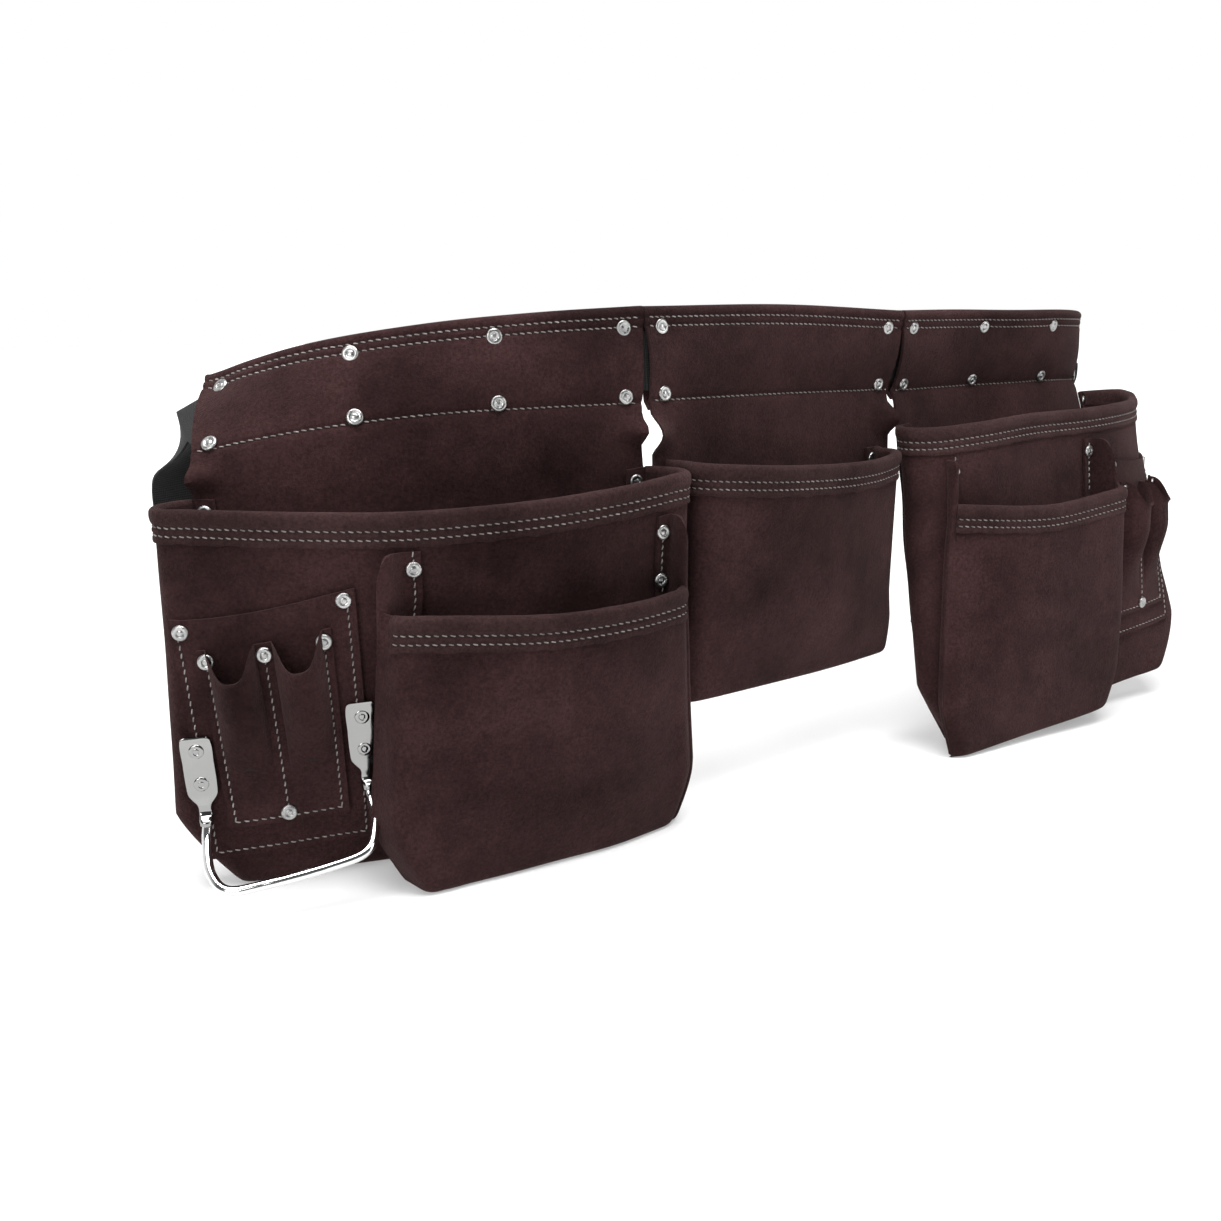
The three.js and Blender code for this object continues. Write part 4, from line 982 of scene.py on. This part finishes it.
def panel_rivets(unit):
    """Caps at the panel's upper corners, on the slots' three ears and in the middle of their foot."""
    parts = []
    spots = [(0.06, 0.965, LEATHER), (0.94, 0.95, LEATHER)]
    on_slots = 2 * LEATHER + FACE_GAP
    spots += [(slots_across(share), 0.835, on_slots + 1.2) for share in SEAMS]
    spots += [(slots_across(0.5), SLOTS["foot"] + 0.04, on_slots + 0.3)]
    for across, up, lift in spots:
        u, seat, h = panel_seat(unit, np.array(float(across)), np.array(float(up)))
        parts.append(lathe(unit, u, float(seat) + lift, h, SMALL_CAP_RADIUS, CAP_PROFILE))
    return parts


for unit in units.values():
    parts = flange_rivets(unit, big_pouch(unit), BIG_FLANGE_RIVETS)
    if unit.name != "centre":
        parts += flange_rivets(unit, small_pocket(unit), SMALL_FLANGE_RIVETS) + panel_rivets(unit)
    build(f"{unit.name}_small_rivets", parts, [nickel], (), 60)

# Hammer holder. Two chromed steel plates, riveted over the side seams of the tool panel, are crimped
# on the ends of a bent round rod that stands out in front for a hammer's handle.
PLATE_LENGTH = 54
PLATE_THICKNESS = 2.2
ROD = 5.5
ROD_DROP = 28
ROD_REACH = 32
PLATE = table(
    "at width thick square",
    (0, 7.4, 7.2, 2), (0.05, 7.6, 7, 2), (0.1, 7.2, 3.4, 4), (0.22, 7.6, 2.6, 8), (0.27, 11.5, 2.4, 10),
    (0.33, 15.6, 2.2, 12), (0.4, 16.6, 2.2, 14), (0.7, 17, 2.2, 14), (0.95, 16.6, 2.2, 14),
    (0.985, 15.2, 2.2, 12), (1, 12.5, 2, 10))
PLATE_PLACES = {"outer": (0.985, 0.165), "inner": (0.015, 0.22)}
PLATE_RIVETS = (0.46, 0.84)
ROD_ROUTE = table(
    "at across reach drop",
    (0, 0, 0, 0), (1, -0.01, 0.18, 0.3), (2, 0, 0.6, 0.72), (3, 0.09, 0.93, 0.98), (4, 0.3, 1, 1),
    (5, 0.7, 1, 0.96), (6, 0.92, 0.9, 0.86), (7, 1, 0.5, 0.52), (8, 1, 0.12, 0.2), (9, 1, 0, 0))


def chrome_material(name, tone):
    material, tree, shader = new_material(name, tone, 0.08, 1)
    drive(tree, shader, "Roughness", noise(tree, 120, 3), (0.3, (0.05,) * 3), (0.75, (0.16,) * 3))
    bump(tree, shader, (noise(tree, 45, 2), 0.9))
    return material


# One chrome in two tones: the plates' darker copy paints their reflections duller and the rod's brighter
# copy is a painted highlight.
plate_chrome = chrome_material("chrome_plate", (0.28, 0.28, 0.275))
rod_chrome = chrome_material("chrome_rod", (0.7, 0.7, 0.7))


def plate_seat(unit, name, rise):
    across, up = PLATE_PLACES[name]
    u, h = panel_point(unit, np.array(across), np.array(up))
    height = h + rise
    return u, pouch_face(unit, u + 0 * height, height) + 2 * FACE_GAP + LEATHER, height


def hammer_plate(unit, name):
    at = np.linspace(0, 1, 90)
    u, seat, h = plate_seat(unit, name, at * PLATE_LENGTH)
    angle = np.linspace(0, 2 * math.pi, 32, endpoint=False)[None]
    width, thick, square = (column(PLATE, key, at)[:, None] for key in ("width", "thick", "square"))
    power = 2 / square
    across = np.sign(np.cos(angle)) * np.abs(np.cos(angle)) ** power * width / 2
    out = np.sign(np.sin(angle)) * np.abs(np.sin(angle)) ** power * thick / 2
    body = unit.at(u + across, seat[:, None] + np.maximum(thick, PLATE_THICKNESS) / 2 + out, h[:, None])
    parts = [tube_part(body)]
    for rise in PLATE_RIVETS:
        u, seat, h = plate_seat(unit, name, np.array(rise * PLATE_LENGTH))
        parts.append(lathe(unit, u, float(seat) + PLATE_THICKNESS, h, PLATE_CAP_RADIUS, FLUSH_PROFILE))
    return parts


def sweep(path, radius, sides):
    """Rings of a round section along a path, turned as little as the path allows."""
    along = unit_length(np.gradient(path, axis=0))
    side = np.cross(along[0], (0, 0, 1.0))
    rings = []
    angle = np.linspace(0, 2 * math.pi, sides, endpoint=False)[:, None]
    for middle, way in zip(path, along):
        side = unit_length(side - way * (side @ way))
        rings.append(middle + radius * (np.cos(angle) * side + np.sin(angle) * np.cross(way, side)))
    return np.stack(rings)


def hammer_loop(unit):
    t = np.linspace(0, ROD_ROUTE["at"][-1], 150)
    ends = [plate_seat(unit, name, np.array(-0.8)) for name in ("outer", "inner")]
    across, reach, drop = (column(ROD_ROUTE, key, t) for key in ("across", "reach", "drop"))
    u, seat, h = (mix(ends[0][k], ends[1][k], across) for k in range(3))
    path = unit.at(u, seat + ROD / 2 + 0.6 + reach * ROD_REACH, h - drop * ROD_DROP)
    return [tube_part(sweep(path, ROD / 2, 20))]


for name in ("outer", "inner"):
    node = f"hammer_plate_{name}"
    build(f"{node}_chrome", hammer_plate(units["left"], name), [plate_chrome], [node], 50)
build("hammer_loop_chrome", hammer_loop(units["left"]), [rod_chrome], ["hammer_loop"], 80)

# Webbing. One strap of black polypropylene webbing, woven in fine ribs across its width, runs through
# the three sleeves. Its free ends fall behind the side pouches to the floor, each to one half of a
# moulded side-release buckle that holds it by a slot.
STRAP_WIDTH = 37
STRAP_THICKNESS = 2.2
FREE_LENGTH = 330
STRAP_MIDDLE = (UPPER_RIVETS + LOWER_RIVETS) / 2
BUCKLE_THICKNESS = 9
TAIL = table(
    "at left right behind height flat",
    (0, 0.02, 0.02, 0.038, 0.985, 0.05), (1, 0.025, 0.025, 0.078, 0.86, 0.45),
    (2, 0.01, 0.022, 0.1, 0.68, 0.8), (3, -0.04, 0.016, 0.115, 0.5, 0.9),
    (4, -0.08, 0.012, 0.14, 0.32, 1), (5, -0.11, 0.01, 0.18, 0.16, 1),
    (6, -0.13, 0.01, 0.24, 0.055, 1), (7, -0.14, 0.01, 0.32, 0, 1), (8, -0.145, 0.005, 0.4, 0, 1))


def webbing_material():
    material, tree, shader = new_material("black_webbing", (0.012, 0.012, 0.014), 0.62)
    uv = tree.nodes.new("ShaderNodeTexCoord")
    heights = []
    for direction, pitch in (("X", 1.5), ("Y", 1.1)):
        wave = tree.nodes.new("ShaderNodeTexWave")
        wave.bands_direction = direction
        wave.inputs["Scale"].default_value = 6.2832 / (20 * pitch * MM)
        tree.links.new(uv.outputs["UV"], wave.inputs["Vector"])
        heights.append(wave.outputs["Fac"])
    weave = tree.nodes.new("ShaderNodeMath")
    weave.operation = "MULTIPLY"
    tree.links.new(heights[0], weave.inputs[0])
    tree.links.new(heights[1], weave.inputs[1])
    # The colour follows the weave's height, darker where it is low: painted shade between the ribs.
    stops = (0.1, (0.003, 0.003, 0.0035)), (0.8, (0.014, 0.014, 0.016))
    drive(tree, shader, "Base Color", weave.outputs[0], *stops)
    bump(tree, shader, (weave.outputs[0], 0.35), (noise(tree, 900, 2), 0.15))
    shader.inputs["Specular IOR Level"].default_value = 0.3
    return material


def tail(unit):
    """Both edges of a free end of the strap, from its sleeve to the floor."""
    t = np.linspace(0, TAIL["at"][-1], 80)
    start = unit.at(unit.width + PANEL_TAPER, -SLEEVE_DEPTH / 2, STRAP_MIDDLE)
    low = BUCKLE_THICKNESS / 2
    columns = (unit.name, "behind", "height", "flat")
    across, behind, height, flat = (column(TAIL, key, t) for key in columns)
    x = start[0] + unit.side * across * FREE_LENGTH
    y = start[1] + behind * FREE_LENGTH
    middle = np.stack([x, y, low + (start[2] - low) * height], -1)
    along = unit_length(np.gradient(middle, axis=0))
    hint = np.stack([-unit.side * flat, 0 * flat, 1 - flat], -1)
    wide = unit_length(hint - along * np.sum(hint * along, 1, keepdims=True)) * STRAP_WIDTH / 2
    return middle - wide, middle + wide


def strap_run(unit):
    share = np.linspace(0, 1, 60)
    edges_of = []
    for h in (STRAP_MIDDLE - STRAP_WIDTH / 2, STRAP_MIDDLE + STRAP_WIDTH / 2):
        level = np.full_like(share, h)
        inner, outer = panel_ends(unit, level)
        edges_of.append(unit.at(mix(inner, outer, share), -SLEEVE_DEPTH / 2, level))
    return edges_of


def webbing():
    left_tail, right_tail = tail(units["left"]), tail(units["right"])
    left_run, centre_run, right_run = (strap_run(units[name]) for name in ("left", "centre", "right"))
    low, high = (
        np.concatenate([left_tail[k][::-1], left_run[k][::-1], centre_run[k], right_run[k], right_tail[k]])
        for k in (0, 1)
    )
    middle = (low + high) / 2
    thick = unit_length(np.cross(high - low, np.gradient(middle, axis=0)))
    share = np.linspace(0, 1, 11)[:, None, None]
    crown = STRAP_THICKNESS / 2 * (1 - 0.35 * (2 * share - 1) ** 6)
    cloth = mix(low[None], high[None], share)
    part = sheet_part(cloth - thick[None] * crown, cloth + thick[None] * crown)
    piece = build("webbing_strap", [part], [webbing_material()], ["webbing"], 60)
    run = run_along(middle)
    rows = len(share)
    width = np.repeat(np.linspace(0, STRAP_WIDTH, rows), len(run))
    place = np.stack([np.tile(run, rows), width], -1) * MM
    place = np.concatenate([place, place])
    layer = piece.data.uv_layers.new(name="UVMap")
    index = np.empty(len(piece.data.loops), int)
    piece.data.loops.foreach_get("vertex_index", index)
    layer.data.foreach_set("uv", place[index].ravel())


webbing()


def plastic_material():
    material, tree, shader = new_material("black_acetal", (0.012, 0.012, 0.013), 0.42)
    drive(tree, shader, "Roughness", noise(tree, 1500, 2), (0.3, (0.36,) * 3), (0.7, (0.52,) * 3))
    bump(tree, shader, (noise(tree, 2500, 2), 0.05))
    return material


plastic = plastic_material()
for name in ("left", "right"):
    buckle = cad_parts[f"{name}_buckle_half"]
    buckle.data.materials.clear()
    buckle.data.materials.append(plastic)
    round_edges = buckle.modifiers.new("moulded_edges", "BEVEL")
    round_edges.width = 1.2 * MM
    round_edges.segments = 3
    round_edges.limit_method = "ANGLE"

# Studio. A white sweep under broad soft light from above, with a camera a little above the belt and
# to the hammer side of it.
CAMERA_PLACE = (-486.4, -761.2, 322)
CAMERA_TURN = 27.5
CAMERA_PITCH = 14.1
CAMERA_ROLL = 0.5
FOCAL_SHARE = 1200 / 1221
FLOOR_REACH = 12
FLOOR_GLOW = 0.28
GLOW_REACH = (0.6, 2.2)


def camera():
    turn, pitch, roll = (math.radians(v) for v in (CAMERA_TURN, CAMERA_PITCH, CAMERA_ROLL))
    forward = Vector((math.sin(turn) * math.cos(pitch), math.cos(turn) * math.cos(pitch), -math.sin(pitch)))
    right = forward.cross(Vector((0, 0, 1))).normalized()
    up = right.cross(forward)
    side = right * math.cos(roll) - up * math.sin(roll)
    top = right * math.sin(roll) + up * math.cos(roll)
    data = bpy.data.cameras.new("camera")
    data.sensor_width = 36
    data.lens = 36 * FOCAL_SHARE
    data.clip_end = 50
    piece = placed("camera", data)
    turned = Matrix((side, top, -forward)).transposed().to_4x4()
    piece.matrix_world = Matrix.Translation(Vector(CAMERA_PLACE) * MM) @ turned
    bpy.context.scene.camera = piece


def floor():
    """The white sweep, which glows more with distance so that it runs into the white behind it."""
    mesh = bpy.data.meshes.new("floor")
    corners = [(x * FLOOR_REACH, y * FLOOR_REACH, 0) for x, y in ((-1, -1), (1, -1), (1, 1), (-1, 1))]
    mesh.from_pydata(corners, [], [(0, 1, 2, 3)])
    material, tree, shader = new_material("white_sweep", (0.6, 0.6, 0.6), 0.8)
    where = tree.nodes.new("ShaderNodeTexCoord")
    away = tree.nodes.new("ShaderNodeVectorMath")
    away.operation = "LENGTH"
    tree.links.new(where.outputs["Object"], away.inputs[0])
    share = tree.nodes.new("ShaderNodeMath")
    share.operation = "DIVIDE"
    share.inputs[1].default_value = FLOOR_REACH
    tree.links.new(away.outputs["Value"], share.inputs[0])
    near, far = (reach / FLOOR_REACH for reach in GLOW_REACH)
    drive(tree, shader, "Emission Color", share.outputs[0], (near, (FLOOR_GLOW,) * 3), (far, (1, 1, 1)))
    shader.inputs["Emission Strength"].default_value = 1
    mesh.materials.append(material)
    piece = placed("floor", mesh)


def soft_light(name, place, aim, size, power):
    data = bpy.data.lights.new(name, "AREA")
    data.shape = "RECTANGLE"
    data.size, data.size_y = size
    data.energy = power
    piece = placed(name, data)
    piece.location = place
    piece.rotation_euler = (Vector(aim) - Vector(place)).to_track_quat("-Z", "Y").to_euler()


def studio_walls():
    """White walls behind the belt, and a darker studio behind the camera, banded for the chrome."""
    world = bpy.data.worlds.new("studio")
    world.use_nodes = True
    tree = world.node_tree
    where = tree.nodes.new("ShaderNodeTexCoord")
    split = tree.nodes.new("ShaderNodeSeparateXYZ")
    tree.links.new(where.outputs["Generated"], split.inputs["Vector"])
    behind = ramp(
        tree, split.outputs["Y"], (0.0, (0.12, 0.12, 0.125)), (0.3, (1, 1, 1)), (0.12, (0.5, 0.5, 0.5)))
    tree.links.new(behind, tree.nodes["Background"].inputs["Color"])
    tree.nodes["Background"].inputs["Strength"].default_value = 1
    bpy.context.scene.world = world


camera()
floor()
soft_light("overhead", place=(-0.25, -0.4, 2.2), aim=(0, 0, 0.1), size=(2.2, 1.4), power=95)
soft_light("front_left", place=(-1.9, -1.6, 1.1), aim=(-0.1, -0.1, 0.15), size=(1.2, 1.2), power=27)
soft_light("front_right", place=(1.6, -1.7, 0.9), aim=(0.1, 0, 0.15), size=(0.8, 1.2), power=14)
studio_walls()
bpy.context.scene.view_settings.view_transform = "Standard"
